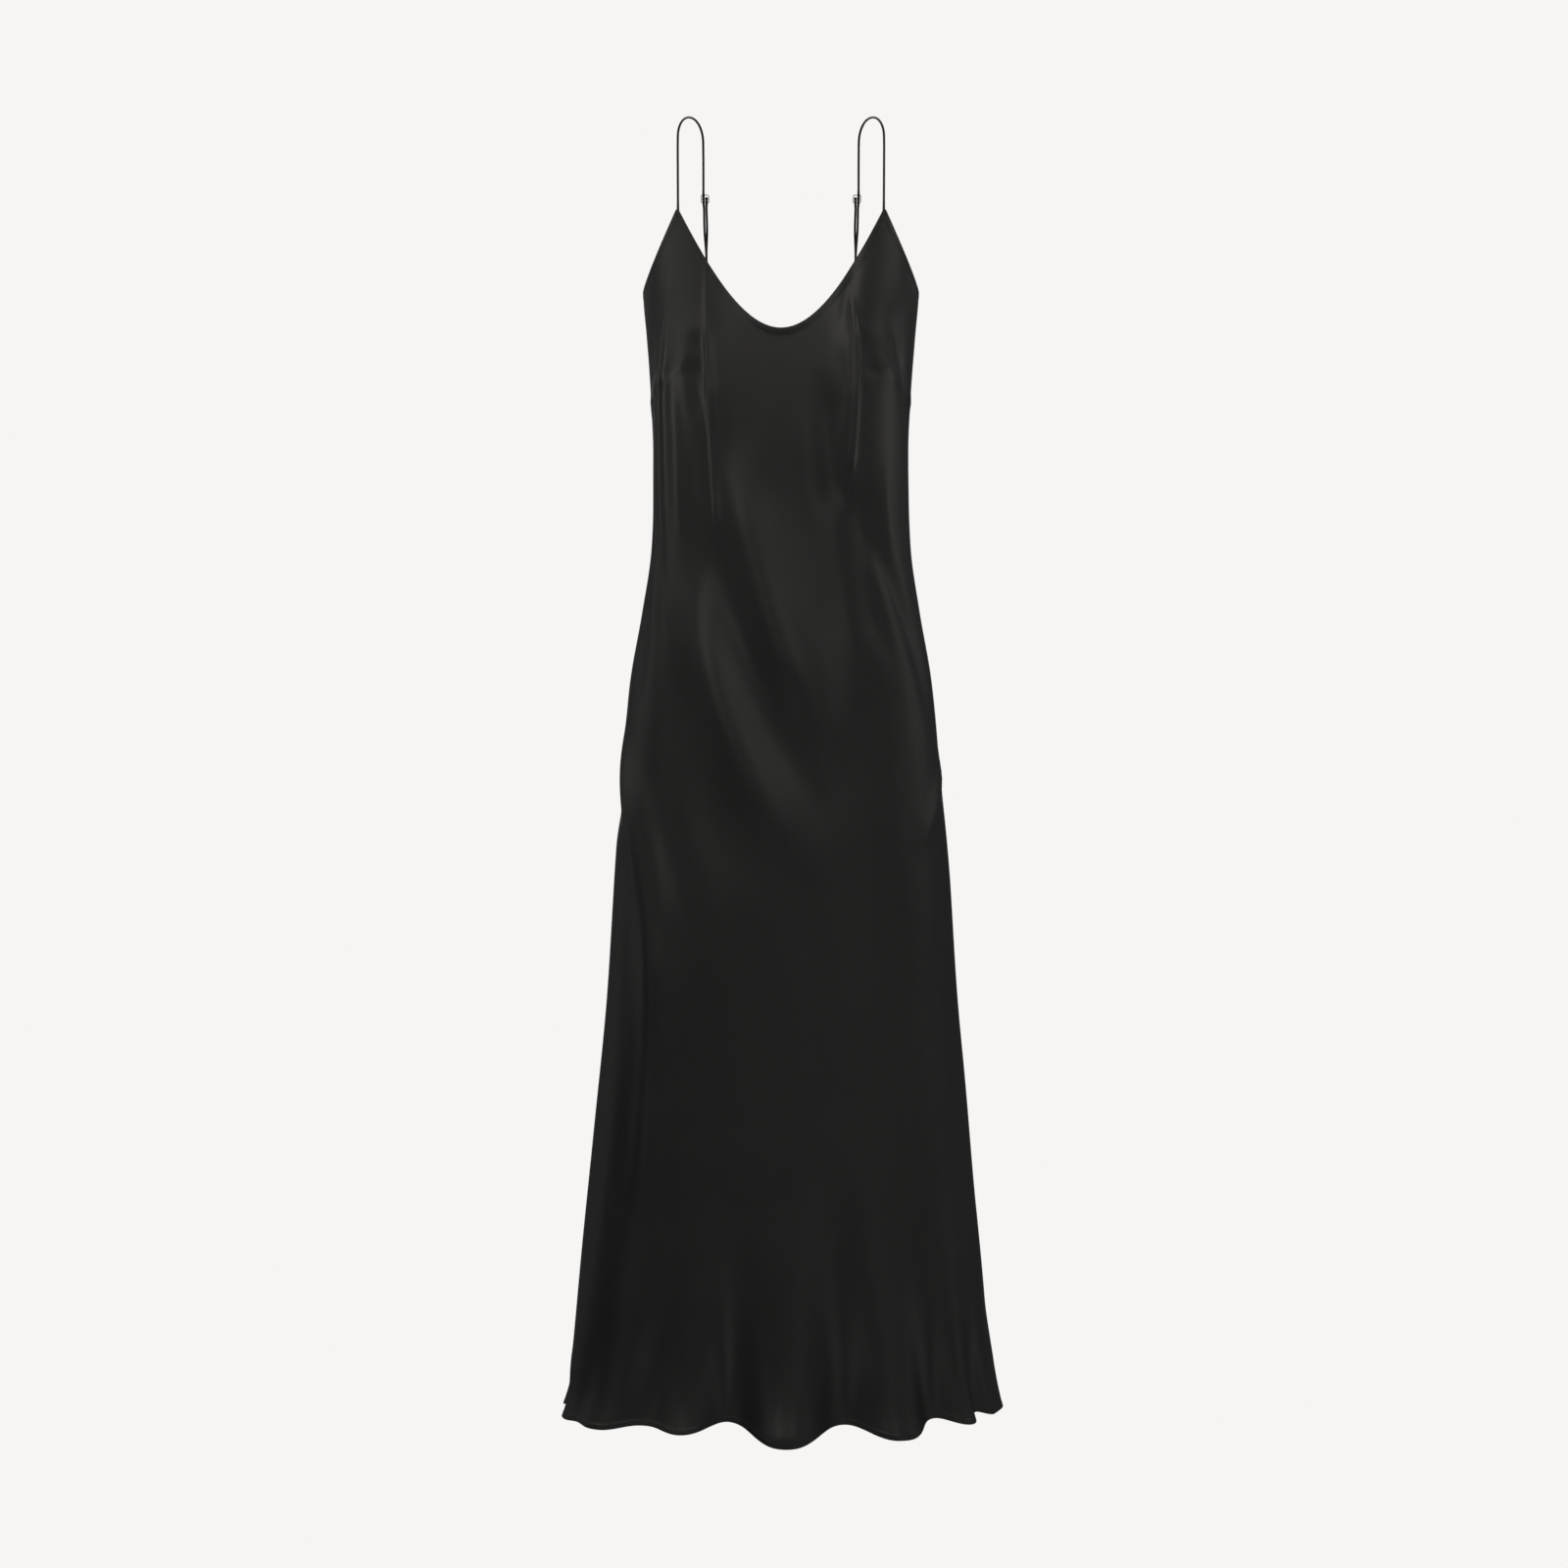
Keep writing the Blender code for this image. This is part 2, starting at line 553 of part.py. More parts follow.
def shoulder_run(at):
    """The strap from inside the front point, sewn flat there, over the shoulder to just above the slider."""
    run = [strap_station(at.sewn + at.tip_down * STRAP_TUCK * share, 1) for share in TUCK_SHARES]
    for share in RISE_SHARES:
        run.append(strap_station(at.sewn.lerp(at.arc_start, share), 1 - smoothstep(share / PRESS_LENGTH)))
    for angle in np.linspace(at.front_angle, at.back_angle, SHOULDER_STATIONS):
        shift = smoothstep((SHIFT_FROM - angle) / (SHIFT_FROM - SHIFT_TO))
        across = at.arc_start.x + (at.arc_end.x - at.arc_start.x) * shift
        run.append(strap_station(on_shoulder(across, angle), 0))
    above_slider = by_slider(at, -SLIDER_BAR_SPACING, LEG_OFFSET, -WEAVE)
    for share in FALL_SHARES:
        flat = smoothstep((share - 1 + PRESS_LENGTH) / PRESS_LENGTH)
        run.append(strap_station(at.arc_end.lerp(above_slider, share), flat))
    return run


def slider_run(at):
    """The strap pressed flat at the slider: inside its outer bars and outside its centre bar."""
    run = []
    for share in np.linspace(-1, 1, SLIDER_STATIONS):
        outward = WEAVE * math.cos(math.pi * share)
        run.append(strap_station(by_slider(at, share * SLIDER_BAR_SPACING, LEG_OFFSET, outward), 1))
    run.append(half_pressed(at, LEG_OFFSET))
    return run


def half_pressed(at, sideways):
    """The station at which a leg of the doubled strap is halfway between pressed and round."""
    return strap_station(by_slider(at, LEGS_ROUND_FROM * LEG_HALF_PRESSED, sideways, -WEAVE / 2), 0.5)


def leg_run(at, leg):
    """One leg of the doubled strap between slider and ring. leg is 1 going down and -1 coming back."""
    clearance = wire_clearance(STRAP_RADIUS, STRAP_RADIUS)
    ring_top = (at.ring - at.slider).length - RING_RADIUS
    run = []
    for down in np.linspace(LEGS_ROUND_FROM, ring_top, LEG_STATIONS):
        turned = smoothstep((down - LEGS_ROUND_FROM) / (ring_top - LEGS_ROUND_FROM) / LEGS_TURN)
        offset = leg * (LEG_OFFSET + (clearance - LEG_OFFSET) * turned)
        angle = math.pi / 2 * turned
        point = by_slider(at, down, offset * math.cos(angle), -offset * math.sin(angle))
        run.append(strap_station(point, 0))
    return run


def around_wire(centre, up, out, radius):
    """Points of a half turn round wire, from its inner side past the end in the up direction."""
    angles = np.linspace(0, math.pi, LOOP_STATIONS)
    return [centre + (up * math.sin(angle) - out * math.cos(angle)) * radius for angle in angles]


def tail_run(at):
    """The strap's returning end, inside the bottom bar and over the centre bar, sewn to itself."""
    run = [half_pressed(at, -LEG_OFFSET)]
    for share in TUCK_SHARES[:2]:
        run.append(strap_station(by_slider(at, share * SLIDER_BAR_SPACING, -LEG_OFFSET, -WEAVE), 1))
    centre = by_slider(at, 0, -LEG_OFFSET, 0)
    run += [strap_station(point, 1) for point in around_wire(centre, -at.along, at.away, WEAVE)]
    run.append(strap_station(by_slider(at, TAIL, -LEG_OFFSET, WEAVE), 1))
    return run


def strap_stations(hand):
    """All stations of one strap, from its sewn front end to its sewn back end."""
    at = strap_places(hand)
    clearance = wire_clearance(STRAP_RADIUS, STRAP_RADIUS)
    turn = around_wire(at.ring - at.along * RING_RADIUS, at.along, at.away, clearance)[1:-1]
    legs = leg_run(at, 1) + [strap_station(point, 0) for point in turn] + leg_run(at, -1)[::-1]
    return shoulder_run(at) + slider_run(at) + legs + tail_run(at)


def wire(points):
    """Stations of round wire through some points."""
    return [Station(point, WIRE_RADIUS, WIRE_RADIUS) for point in points]


def strap(name, hand, satin):
    """One adjustable strap as a single solid."""
    return swept(name, strap_stations(hand), Vector((1, 0, 0)), STRAP_SIDES, satin)


def slider(name, hand, metal):
    """A wire frame with round corners and a centre bar, joined into one solid."""
    at = strap_places(hand)
    outline = []
    for quarter, (way_across, way_along) in enumerate(((1, 1), (-1, 1), (-1, -1), (1, -1))):
        corner_across = way_across * (SLIDER_HALF_WIDTH - SLIDER_CORNER)
        corner_along = way_along * (SLIDER_BAR_SPACING - SLIDER_CORNER)
        for turn in np.linspace(0, math.pi / 2, SLIDER_CORNER_STATIONS):
            angle = math.pi / 2 * quarter + turn
            across = Vector((corner_across + SLIDER_CORNER * math.cos(angle), 0, 0))
            down = corner_along + SLIDER_CORNER * math.sin(angle)
            outline.append(at.slider + across + at.along * down)
    frame = swept(name, wire(outline), at.away, WIRE_SIDES, metal, closed=True)
    ends = [at.slider + Vector((end * SLIDER_HALF_WIDTH, 0, 0)) for end in (-1, 1)]
    bar = swept(name + "_bar", wire(ends), at.away, WIRE_SIDES, metal)
    bar.hide_render = True
    bar.display_type = "WIRE"
    union = frame.modifiers.new("centre bar", "BOOLEAN")
    union.operation = "UNION"
    union.object = bar
    return frame


def ring(name, hand, metal):
    """The round ring that joins a strap to its tab."""
    at = strap_places(hand)
    across = Vector((RING_RADIUS, 0, 0))
    angles = np.linspace(0, 2 * math.pi, RING_STATIONS, endpoint=False)
    points = [at.ring + across * math.cos(a) + at.along * RING_RADIUS * math.sin(a) for a in angles]
    return swept(name, wire(points), at.away, WIRE_SIDES, metal, closed=True)


def tab(name, hand, satin):
    """The folded tape that holds a ring, both of its ends sewn to the inside of the back's strap point."""
    at = strap_places(hand)
    outer_end = CLOTH / 2 + SEAM_GAP + STRAP_FLAT.half_thick
    inner_end = outer_end + SEAM_GAP + 2 * STRAP_FLAT.half_thick
    ring_bottom = at.ring + at.along * RING_RADIUS
    inner_tuck = [STRAP_TUCK * share for share in TUCK_SHARES[:2] + (TAB_TUCK_END,)]
    outer_tuck = [STRAP_TUCK * share for share in TUCK_SHARES[::-1]]
    points = [at.seat + at.seat_down * down - at.seat_out * inner_end for down in inner_tuck]
    points += around_wire(ring_bottom, -at.along, at.away, wire_clearance(*STRAP_FLAT))
    points += [at.seat + at.seat_down * down - at.seat_out * outer_end for down in outer_tuck]
    stations = [Station(point, *STRAP_FLAT) for point in points]
    return swept(name, stations, Vector((1, 0, 0)), STRAP_SIDES, satin)


def main():
    """Clears the scene and builds the dress."""
    for old in list(bpy.data.objects):
        bpy.data.objects.remove(old, do_unlink=True)
    satin = material("black satin", (0.017, 0.017, 0.018), 0.42)
    metal = material("polished metal", (0.62, 0.61, 0.60), 0.18, 1.0)
    panel("front_panel", FRONT, POINT_ACROSS, tip_drop(), satin)
    panel("back_panel", BACK, BACK_POINT_ACROSS, BACK_POINT_DROP, satin)
    for word, hand in (("left", -1), ("right", 1)):
        strap("strap_" + word, hand, satin)
        slider("slider_" + word, hand, metal)
        ring("ring_" + word, hand, metal)
        tab("tab_" + word, hand, satin)


main()
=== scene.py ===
# A long bias-cut satin slip dress, open and hollow as it is worn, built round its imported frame.
# Metres, +Z up, the front towards -Y. A drop is a distance below the shoulder line.
# A place across a panel goes from -1 at the left seam to 1 at the right seam.
import math

import bpy
import numpy as np
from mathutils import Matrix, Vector


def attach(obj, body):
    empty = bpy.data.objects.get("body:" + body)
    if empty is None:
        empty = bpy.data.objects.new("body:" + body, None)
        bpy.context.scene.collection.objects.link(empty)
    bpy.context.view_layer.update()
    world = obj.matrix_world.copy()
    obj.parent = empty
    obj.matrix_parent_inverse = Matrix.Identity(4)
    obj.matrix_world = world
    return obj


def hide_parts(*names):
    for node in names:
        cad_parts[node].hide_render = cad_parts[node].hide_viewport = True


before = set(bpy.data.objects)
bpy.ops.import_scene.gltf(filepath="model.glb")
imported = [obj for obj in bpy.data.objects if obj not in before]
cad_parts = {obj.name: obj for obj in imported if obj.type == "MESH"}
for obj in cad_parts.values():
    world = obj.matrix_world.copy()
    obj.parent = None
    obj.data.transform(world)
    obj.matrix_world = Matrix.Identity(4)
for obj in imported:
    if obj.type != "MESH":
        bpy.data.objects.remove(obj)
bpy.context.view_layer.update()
print("frame loaded")


def newObject(name, data):
    made = bpy.data.objects.new(name, data)
    bpy.context.scene.collection.objects.link(made)
    return made


def newMesh(name, vertices, edges, faces, *materials):
    mesh = bpy.data.meshes.new(name)
    mesh.from_pydata(vertices, edges, faces)
    for material in materials:
        mesh.materials.append(material)
    return mesh


# A node with its own settings and the values of its inputs
def addNode(tree, kind, values=None, **settings):
    node = tree.nodes.new(kind)
    for key, value in settings.items():
        setattr(node, key, value)
    for key, value in (values or {}).items():
        node.inputs[key].default_value = value
    return node


# Camera, level with the middle of the dress
cameraSet = {"across": 0.0032, "distance": 4.0, "height": -0.70, "lens": 87.2, "sensor": 36.0}


def makeCamera(c):
    data = bpy.data.cameras.new("camera")
    data.lens, data.sensor_width = c["lens"], c["sensor"]
    made = newObject("camera", data)
    made.location = (c["across"], -c["distance"], c["height"])
    made.rotation_euler = (math.pi / 2, 0, 0)
    bpy.context.scene.camera = made


makeCamera(cameraSet)

# Stage: a pale floor and surround that only the camera sees, and many weak soft boxes all round the dress
stageSet = {
    "floorDrop": 1.47,
    "floorRadius": 14.0,
    "floorCorners": 96,
    "paper": (0.930, 0.912, 0.905),
    "surroundLight": 0.05,
    "warmth": (1.0, 0.975, 0.936),
    "aroundSize": 1.5,
    "aroundReach": 3.0,
    "aroundAim": (0.0, 0.0, -0.65),
    "beamSize": 0.12,
    "beamBlend": 1.0,
}
# Degrees round from the front, degrees up, watts
lightsAround = [
    (-150, 35, 10.0),
    (-120, 0, 0.87),
    (-90, 35, 7.2),
    (-60, 0, 1.6),
    (-60, 35, 5.0),
    (-30, -35, 4.9),
    (0, 0, 0.93),
    (30, 0, 1.7),
    (30, -35, 4.3),
    (60, 0, 1.35),
    (90, 0, 1.25),
    (90, -35, 4.8),
    (90, 35, 8.2),
    (120, 0, 0.4),
    (150, 35, 10.0),
    (180, 0, 9.5),
    (180, 35, 7.5),
]
# Where it stands, where it aims, its side, watts
lightsNear = [
    ((0.7, -1.3, 0.75), (0.0, 0.0, -0.25), 0.9, 4.3),
    ((-0.7, -1.8, 0.2), (0.0, 0.0, -0.35), 0.9, 3.3),
    ((0.7, -1.8, 0.2), (0.0, 0.0, -0.35), 0.9, 1.55),
    ((-1.2, 0.2, -0.4), (0.0, 0.0, -0.45), 0.5, 0.18),
    ((1.2, 0.2, -0.4), (0.0, 0.0, -0.45), 0.5, 0.3),
]
# Narrow beams on the waist's flanks: where each stands, where it aims, its cone in degrees, watts
lightsSpot = [
    ((-1.25, -0.05, -0.3), (-0.12, -0.05, -0.29), 14, 3.7),
    ((1.25, 0.25, -0.34), (0.12, -0.05, -0.32), 13, 1.2),
]


def makeLight(name, kind, at, aim, watts, **settings):
    data = bpy.data.lights.new(name, kind)
    data.energy, data.color = watts, stageSet["warmth"]
    for key, value in settings.items():
        setattr(data, key, value)
    made = newObject(name, data)
    made.location = at
    made.rotation_euler = (Vector(aim) - Vector(at)).to_track_quat("-Z", "Y").to_euler()


def makeLights(s):
    for i, (bearing, up, watts) in enumerate(lightsAround):
        turn, rise = math.radians(bearing), math.radians(up)
        way = Vector((math.sin(turn) * math.cos(rise), -math.cos(turn) * math.cos(rise), math.sin(rise)))
        at = Vector(s["aroundAim"]) + way * s["aroundReach"]
        makeLight(f"around{i}", "AREA", at, s["aroundAim"], watts, size=s["aroundSize"])
    for i, (at, aim, size, watts) in enumerate(lightsNear):
        makeLight(f"near{i}", "AREA", at, aim, watts, size=size)
    for i, (at, aim, cone, watts) in enumerate(lightsSpot):
        makeLight(f"beam{i}", "SPOT", at, aim, watts, spot_size=math.radians(cone),
                  spot_blend=s["beamBlend"], shadow_soft_size=s["beamSize"])


def makeStage(s):
    paper = bpy.data.materials.new("paper")
    paper.use_nodes = True
    tree = paper.node_tree
    tree.nodes.clear()
    glow = addNode(tree, "ShaderNodeEmission", {"Color": (*s["paper"], 1)})
    tree.links.new(glow.outputs["Emission"], addNode(tree, "ShaderNodeOutputMaterial").inputs["Surface"])
    turns = np.linspace(0, 2 * math.pi, s["floorCorners"], endpoint=False)
    rim = [(s["floorRadius"] * math.cos(t), s["floorRadius"] * math.sin(t), -s["floorDrop"]) for t in turns]
    floor = newObject("floor", newMesh("floor", rim, [], [list(range(len(rim)))], paper))
    floor.visible_diffuse = floor.visible_glossy = floor.visible_shadow = False

    world = bpy.data.worlds.new("surround")
    bpy.context.scene.world = world
    world.use_nodes = True
    tree = world.node_tree
    tree.nodes.clear()
    seen = addNode(tree, "ShaderNodeBackground", {"Color": (*s["paper"], 1)})
    light = addNode(tree, "ShaderNodeBackground", {"Color": (1, 1, 1, 1), "Strength": s["surroundLight"]})
    path, mix = addNode(tree, "ShaderNodeLightPath"), addNode(tree, "ShaderNodeMixShader")
    tree.links.new(path.outputs["Is Camera Ray"], mix.inputs["Fac"])
    tree.links.new(light.outputs["Background"], mix.inputs[1])
    tree.links.new(seen.outputs["Background"], mix.inputs[2])
    tree.links.new(mix.outputs["Shader"], addNode(tree, "ShaderNodeOutputWorld").inputs["Surface"])
    bpy.context.scene.view_settings.view_transform = "Standard"
    makeLights(s)


makeStage(stageSet)
print("camera and stage made")

# The cut of the dress, the same as in the solids
cut = {
    "neckDrop": 0.2328,
    "neckRise": 0.278,
    "neckSpread": 0.10,
    "pointAcross": 0.1073,
    "pointWidth": 0.0026,
    "underarmDrop": 0.184,
    "backPointAcross": 0.0785,
    "backPointDrop": 0.200,
    "backNeckDrop": 0.268,
    "backNeckRound": 1.3,
    "backArmholeSag": 0.009,
    "hemDrop": 1.3512,
    "hemDip": 0.50,  # a flute that stands out by 1 hangs lower by this share
    "squareness": 0.10,
    "seamGap": 0.0003,
    "solidWall": 0.0012,
}
cup = {"across": 0.080, "drop": 0.266, "out": 0.009, "width": 0.038, "above": 0.066, "below": 0.085}
foldRule = {"fade": 3, "growth": 2.2, "spread": 1.3, "limit": 1.1, "roundness": 2.6}
hemFlare = {"out": 0.006, "reach": 0.07}  # the last stretch above the hem kicks out
dartRule = {"fade": 4, "slack": 1e-6}  # a dart fades out over the last quarter of its length, at the bust
frontSide, backSide = -1, 1
edgePasses = 14  # repeats that find where a column meets its top edge
placeSteps = 2001  # places tried to find the one at a given distance from the centre line

# drop, half width, depth of the front, depth of the back
sections = [
    (0.1, 0.145, 0.093, 0.088),
    (0.18, 0.145, 0.1045, 0.096),
    (0.23, 0.1412, 0.1085, 0.096),
    (0.27, 0.138, 0.111, 0.093),
    (0.31, 0.1354, 0.1118, 0.088),
    (0.35, 0.134, 0.1115, 0.083),
    (0.41, 0.1347, 0.1095, 0.079),
    (0.45, 0.1364, 0.109, 0.083),
    (0.52, 0.1461, 0.1105, 0.097),
    (0.59, 0.1582, 0.1135, 0.112),
    (0.66, 0.1653, 0.116, 0.119),
    (0.77, 0.1738, 0.121, 0.12),
    (0.92, 0.1829, 0.128, 0.124),
    (1.06, 0.1965, 0.137, 0.132),
    (1.21, 0.2115, 0.148, 0.142),
    (1.36, 0.224, 0.157, 0.151),
]

# top, bottom, place at start, in the middle and at the end, width, how far out
frontFolds = [
    (0.19, 0.6, -0.6, -0.76, -0.56, 0.013, 0.0045),
    (0.18, 0.4, -0.31, -0.295, -0.28, 0.009, 0.0028),
    (0.23, 0.3, -0.38, -0.36, -0.33, 0.01, -0.003),
    (0.26, 0.42, 0.31, 0.315, 0.345, 0.01, 0.0035),
    (0.235, 0.29, 0.38, 0.4, 0.43, 0.011, -0.003),
    (0.2, 0.34, 0.56, 0.68, 0.9, 0.013, -0.003),
    (0.27, 0.44, 0.19, 0.22, 0.26, 0.015, -0.0045),
    (0.36, 0.6, 0.44, 0.41, 0.5, 0.016, -0.0045),
    (0.34, 0.68, -0.24, -0.06, 0.22, 0.022, 0.0085),
    (0.42, 0.76, -0.3, -0.11, 0.2, 0.02, -0.005),
    (0.47, 0.82, -0.46, -0.19, 0.13, 0.021, 0.0065),
    (0.5, 0.84, -0.62, -0.36, -0.08, 0.024, -0.002),
    (0.58, 1.02, -1.14, -0.56, -0.47, 0.022, 0.0085),
    (0.8, 1.18, -0.51, -0.47, -0.45, 0.02, 0.005),
    (0.5, 0.7, 0.28, 0.26, 0.22, 0.017, 0.002),
    (0.66, 0.78, 0.98, 0.76, 0.54, 0.015, 0.0035),
]
backFolds = [
    (0.24, 0.46, -0.42, -0.36, -0.34, 0.016, -0.004),
    (0.25, 0.5, 0.44, 0.4, 0.33, 0.017, -0.0035),
    (0.3, 0.44, 0.82, 0.66, 0.52, 0.014, 0.0035),
    (0.34, 0.62, -0.62, -0.34, -0.02, 0.019, 0.005),
    (0.37, 0.6, -0.34, -0.1, 0.16, 0.018, -0.0045),
    (0.36, 0.56, 0.02, 0.16, 0.36, 0.016, 0.004),
    (0.42, 0.7, 0.66, 0.44, 0.1, 0.02, 0.005),
    (0.46, 0.78, 0.84, 0.6, 0.24, 0.02, -0.0045),
    (0.6, 1.05, 0.5, 0.46, 0.36, 0.026, 0.005),
    (0.66, 1.15, -0.58, -0.52, -0.56, 0.028, 0.005),
]

# place at the hem, how far it moves by the upper end, width, reach above the hem, how far out
frontFlutes = [
    (-0.96, 0.04, 0.05, 0.14, 0.0015),
    (-0.8, 0.42, 0.038, 0.42, 0.007),
    (-0.55, 0.2, 0.03, 0.34, 0.009),
    (-0.4, 0.12, 0.024, 0.26, -0.004),
    (-0.25, 0.0, 0.024, 0.34, 0.008),
    (-0.13, 0.02, 0.025, 0.32, -0.018),
    (0.005, -0.02, 0.032, 0.52, 0.026),
    (0.165, -0.02, 0.024, 0.3, -0.012),
    (0.32, -0.1, 0.03, 0.46, 0.017),
    (0.46, -0.04, 0.023, 0.28, -0.013),
    (0.61, -0.04, 0.022, 0.3, 0.004),
    (0.7, 0.0, 0.018, 0.24, -0.011),
]
backFlutes = [
    (-0.8, 0.06, 0.028, 0.36, 0.012),
    (-0.63, 0.05, 0.024, 0.26, -0.014),
    (-0.45, 0.06, 0.03, 0.52, 0.02),
    (-0.26, 0.02, 0.026, 0.3, -0.016),
    (-0.06, 0.03, 0.03, 0.46, 0.022),
    (0.15, -0.02, 0.026, 0.34, -0.018),
    (0.34, -0.05, 0.028, 0.54, 0.019),
    (0.54, -0.02, 0.024, 0.28, -0.014),
    (0.74, -0.06, 0.03, 0.42, 0.014),
]

# Finer drag lines that only the shells carry, in the same columns as the folds
frontCreases = [
    (0.16, 0.58, -0.5, -0.705, -0.465, 0.0042, 0.0026),
    (0.14, 0.34, -0.32, -0.32, -0.318, 0.0034, 0.0018),
    (0.25, 0.47, -0.315, -0.315, -0.27, 0.003, 0.0024),
    (0.17, 0.43, 0.28, 0.338, 0.3, 0.003, 0.0032),
    (0.255, 0.33, -0.42, -0.4, -0.37, 0.009, -0.0026),
    (1.3, 1.43, -1.0, -1.0, -1.0, 0.06, -0.01),
    (1.24, 1.44, 1.0, 1.0, 1.0, 0.03, 0.0035),
    (0.66, 1.14, 1.0, 1.0, 1.0, 0.03, 0.0025),
    (0.595, 0.765, -1.0, -1.0, -1.0, 0.03, -0.0038),
    (0.38, 0.66, 0.3, 0.64, 0.8, 0.018, -0.0052),
    (0.36, 0.64, -0.84, -0.82, -0.66, 0.015, -0.0046),
    (0.235, 0.29, 0.38, 0.4, 0.43, 0.011, 0.0017),
    (0.66, 0.88, -0.7, -0.5, -0.38, 0.012, 0.003),
    (0.13, 0.26, 0.36, 0.29, 0.25, 0.006, -0.0012),
    (0.24, 0.34, 0.25, 0.27, 0.29, 0.006, -0.0014),
    (0.25, 0.46, -0.57, -0.56, -0.53, 0.01, 0.0028),
    (0.34, 0.5, -0.46, -0.42, -0.36, 0.008, -0.001),
    (0.33, 0.47, 0.05, 0.07, 0.11, 0.01, -0.0008),
    (0.35, 0.5, 0.56, 0.58, 0.62, 0.009, 0.001),
    (0.4, 0.58, 0.24, 0.26, 0.31, 0.009, 0.0009),
    (0.44, 0.6, -0.7, -0.62, -0.5, 0.009, -0.0012),
    (0.58, 0.76, 0.14, 0.2, 0.3, 0.011, -0.001),
    (0.62, 0.86, 0.42, 0.44, 0.5, 0.013, 0.0009),
    (0.7, 0.98, 0.05, 0.1, 0.13, 0.014, -0.001),
    (0.76, 1.08, -0.2, -0.18, -0.16, 0.013, 0.001),
    (0.84, 1.16, 0.62, 0.64, 0.68, 0.015, -0.0011),
    (0.88, 1.22, -0.52, -0.56, -0.6, 0.015, -0.0012),
    (0.9, 1.2, 0.28, 0.27, 0.26, 0.014, 0.0009),
]
backCreases = [
    (0.27, 0.42, -0.22, -0.2, -0.17, 0.008, 0.001),
    (0.26, 0.4, 0.2, 0.19, 0.15, 0.007, -0.001),
    (0.28, 0.46, 0.6, 0.56, 0.5, 0.008, 0.0012),
    (0.3, 0.5, -0.7, -0.64, -0.52, 0.007, 0.0014),
    (0.44, 0.66, -0.2, -0.06, 0.1, 0.011, -0.001),
    (0.5, 0.72, 0.3, 0.22, 0.12, 0.011, 0.001),
    (0.7, 1.0, -0.3, -0.27, -0.25, 0.014, 0.0011),
    (0.76, 1.1, 0.18, 0.15, 0.12, 0.015, -0.0011),
    (0.84, 1.16, 0.66, 0.67, 0.7, 0.015, 0.001),
]

# Bust darts and the small pulls beside them: from and to across the panel, drop at the start, middle and end,
# width, how far out
frontDarts = [
    (-1.0, -0.32, 0.313, 0.291, 0.268, 0.002, -0.0004),
    (0.32, 1.0, 0.268, 0.289, 0.311, 0.002, -0.0004),
    (-1.0, -0.4, 0.306, 0.283, 0.262, 0.008, 0.0009),
    (0.4, 1.0, 0.262, 0.281, 0.304, 0.008, 0.0009),
]


def smoothStep(value):
    t = np.clip(value, 0, 1)
    return t * t * (3 - 2 * t)


# A smooth function through the values that never overshoots them
def curveThrough(at, values):
    at, values = np.array(at), np.array(values)
    step = np.diff(at)
    rise = np.diff(values) / step
    slope = np.zeros(len(at))
    slope[0], slope[-1] = rise[0], rise[-1]
    for i in range(1, len(at) - 1):
        if rise[i - 1] * rise[i] > 0:
            before, after = 2 * step[i] + step[i - 1], step[i] + 2 * step[i - 1]
            slope[i] = (before + after) / (before / rise[i - 1] + after / rise[i])

    def read(where):
        where = np.clip(where, at[0], at[-1])
        i = np.clip(np.searchsorted(at, where) - 1, 0, len(step) - 1)
        t = (where - at[i]) / step[i]
        startPull = t * (1 - t) ** 2 * step[i] * slope[i]
        endPull = t * t * (t - 1) * step[i] * slope[i + 1]
        return values[i] + (values[i + 1] - values[i]) * t * t * (3 - 2 * t) + startPull + endPull

    return read


sectionDrops = [row[0] for row in sections]
halfWidth = curveThrough(sectionDrops, [row[1] for row in sections])
depthOf = {
    frontSide: curveThrough(sectionDrops, [row[2] for row in sections]),
    backSide: curveThrough(sectionDrops, [row[3] for row in sections]),
}


# X and Y of a point on a panel's smooth form, and of its outward direction
def plainSection(side, around, drop):
    angle = around * math.pi / 2
    sine, cosine = np.sin(angle), np.cos(angle)
    width, deep, square = halfWidth(drop), depthOf[side](drop), cut["squareness"]
    x = width * sine * (1 + square * cosine**2)
    y = deep * cosine * (1 + square * sine**2)
    alongX = width * cosine * (1 + square * (cosine**2 - 2 * sine**2))
    alongY = -deep * sine * (1 + square * (sine**2 - 2 * cosine**2))
    length = np.hypot(alongX, alongY)
    return x, side * y, -alongY / length, side * alongX / length


def loopPlace(side, around):
    return around if side == frontSide else 2 - around


def quarterArc(drop):
    meanDepth = (depthOf[frontSide](drop) + depthOf[backSide](drop)) / 2
    return math.pi / 2 * np.sqrt((halfWidth(drop) ** 2 + meanDepth**2) / 2)


# Distance along the cloth from a place across one panel, also where it is reached over a side seam
def distanceAlong(side, around, drop, owner, place):
    turns = loopPlace(side, around) - loopPlace(owner, place)
    return ((turns + 2) % 4 - 2) * quarterArc(drop)


# From start to end while t goes from 0 to 1, through the middle value halfway
def bentPath(start, middle, end, t):
    bend = 4 * middle - 3 * start - end
    return start + bend * t + (end - start - bend) * t * t


# 0 above this reach from the hem, 1 at the hem, and a little more where the hem dips
def nearHem(drop, reach):
    return np.clip(1 - (cut["hemDrop"] - drop) / reach, 0, foldRule["limit"])


def foldHeight(fold, owner, side, around, drop):
    top, bottom, start, middle, end, width, out = fold
    t = (drop - top) / (bottom - top)
    away = distanceAlong(side, around, drop, owner, bentPath(start, middle, end, t)) / width
    fade = foldRule["fade"]
    return out * np.exp(-(away**2)) * smoothStep(t * fade) * smoothStep((1 - t) * fade)


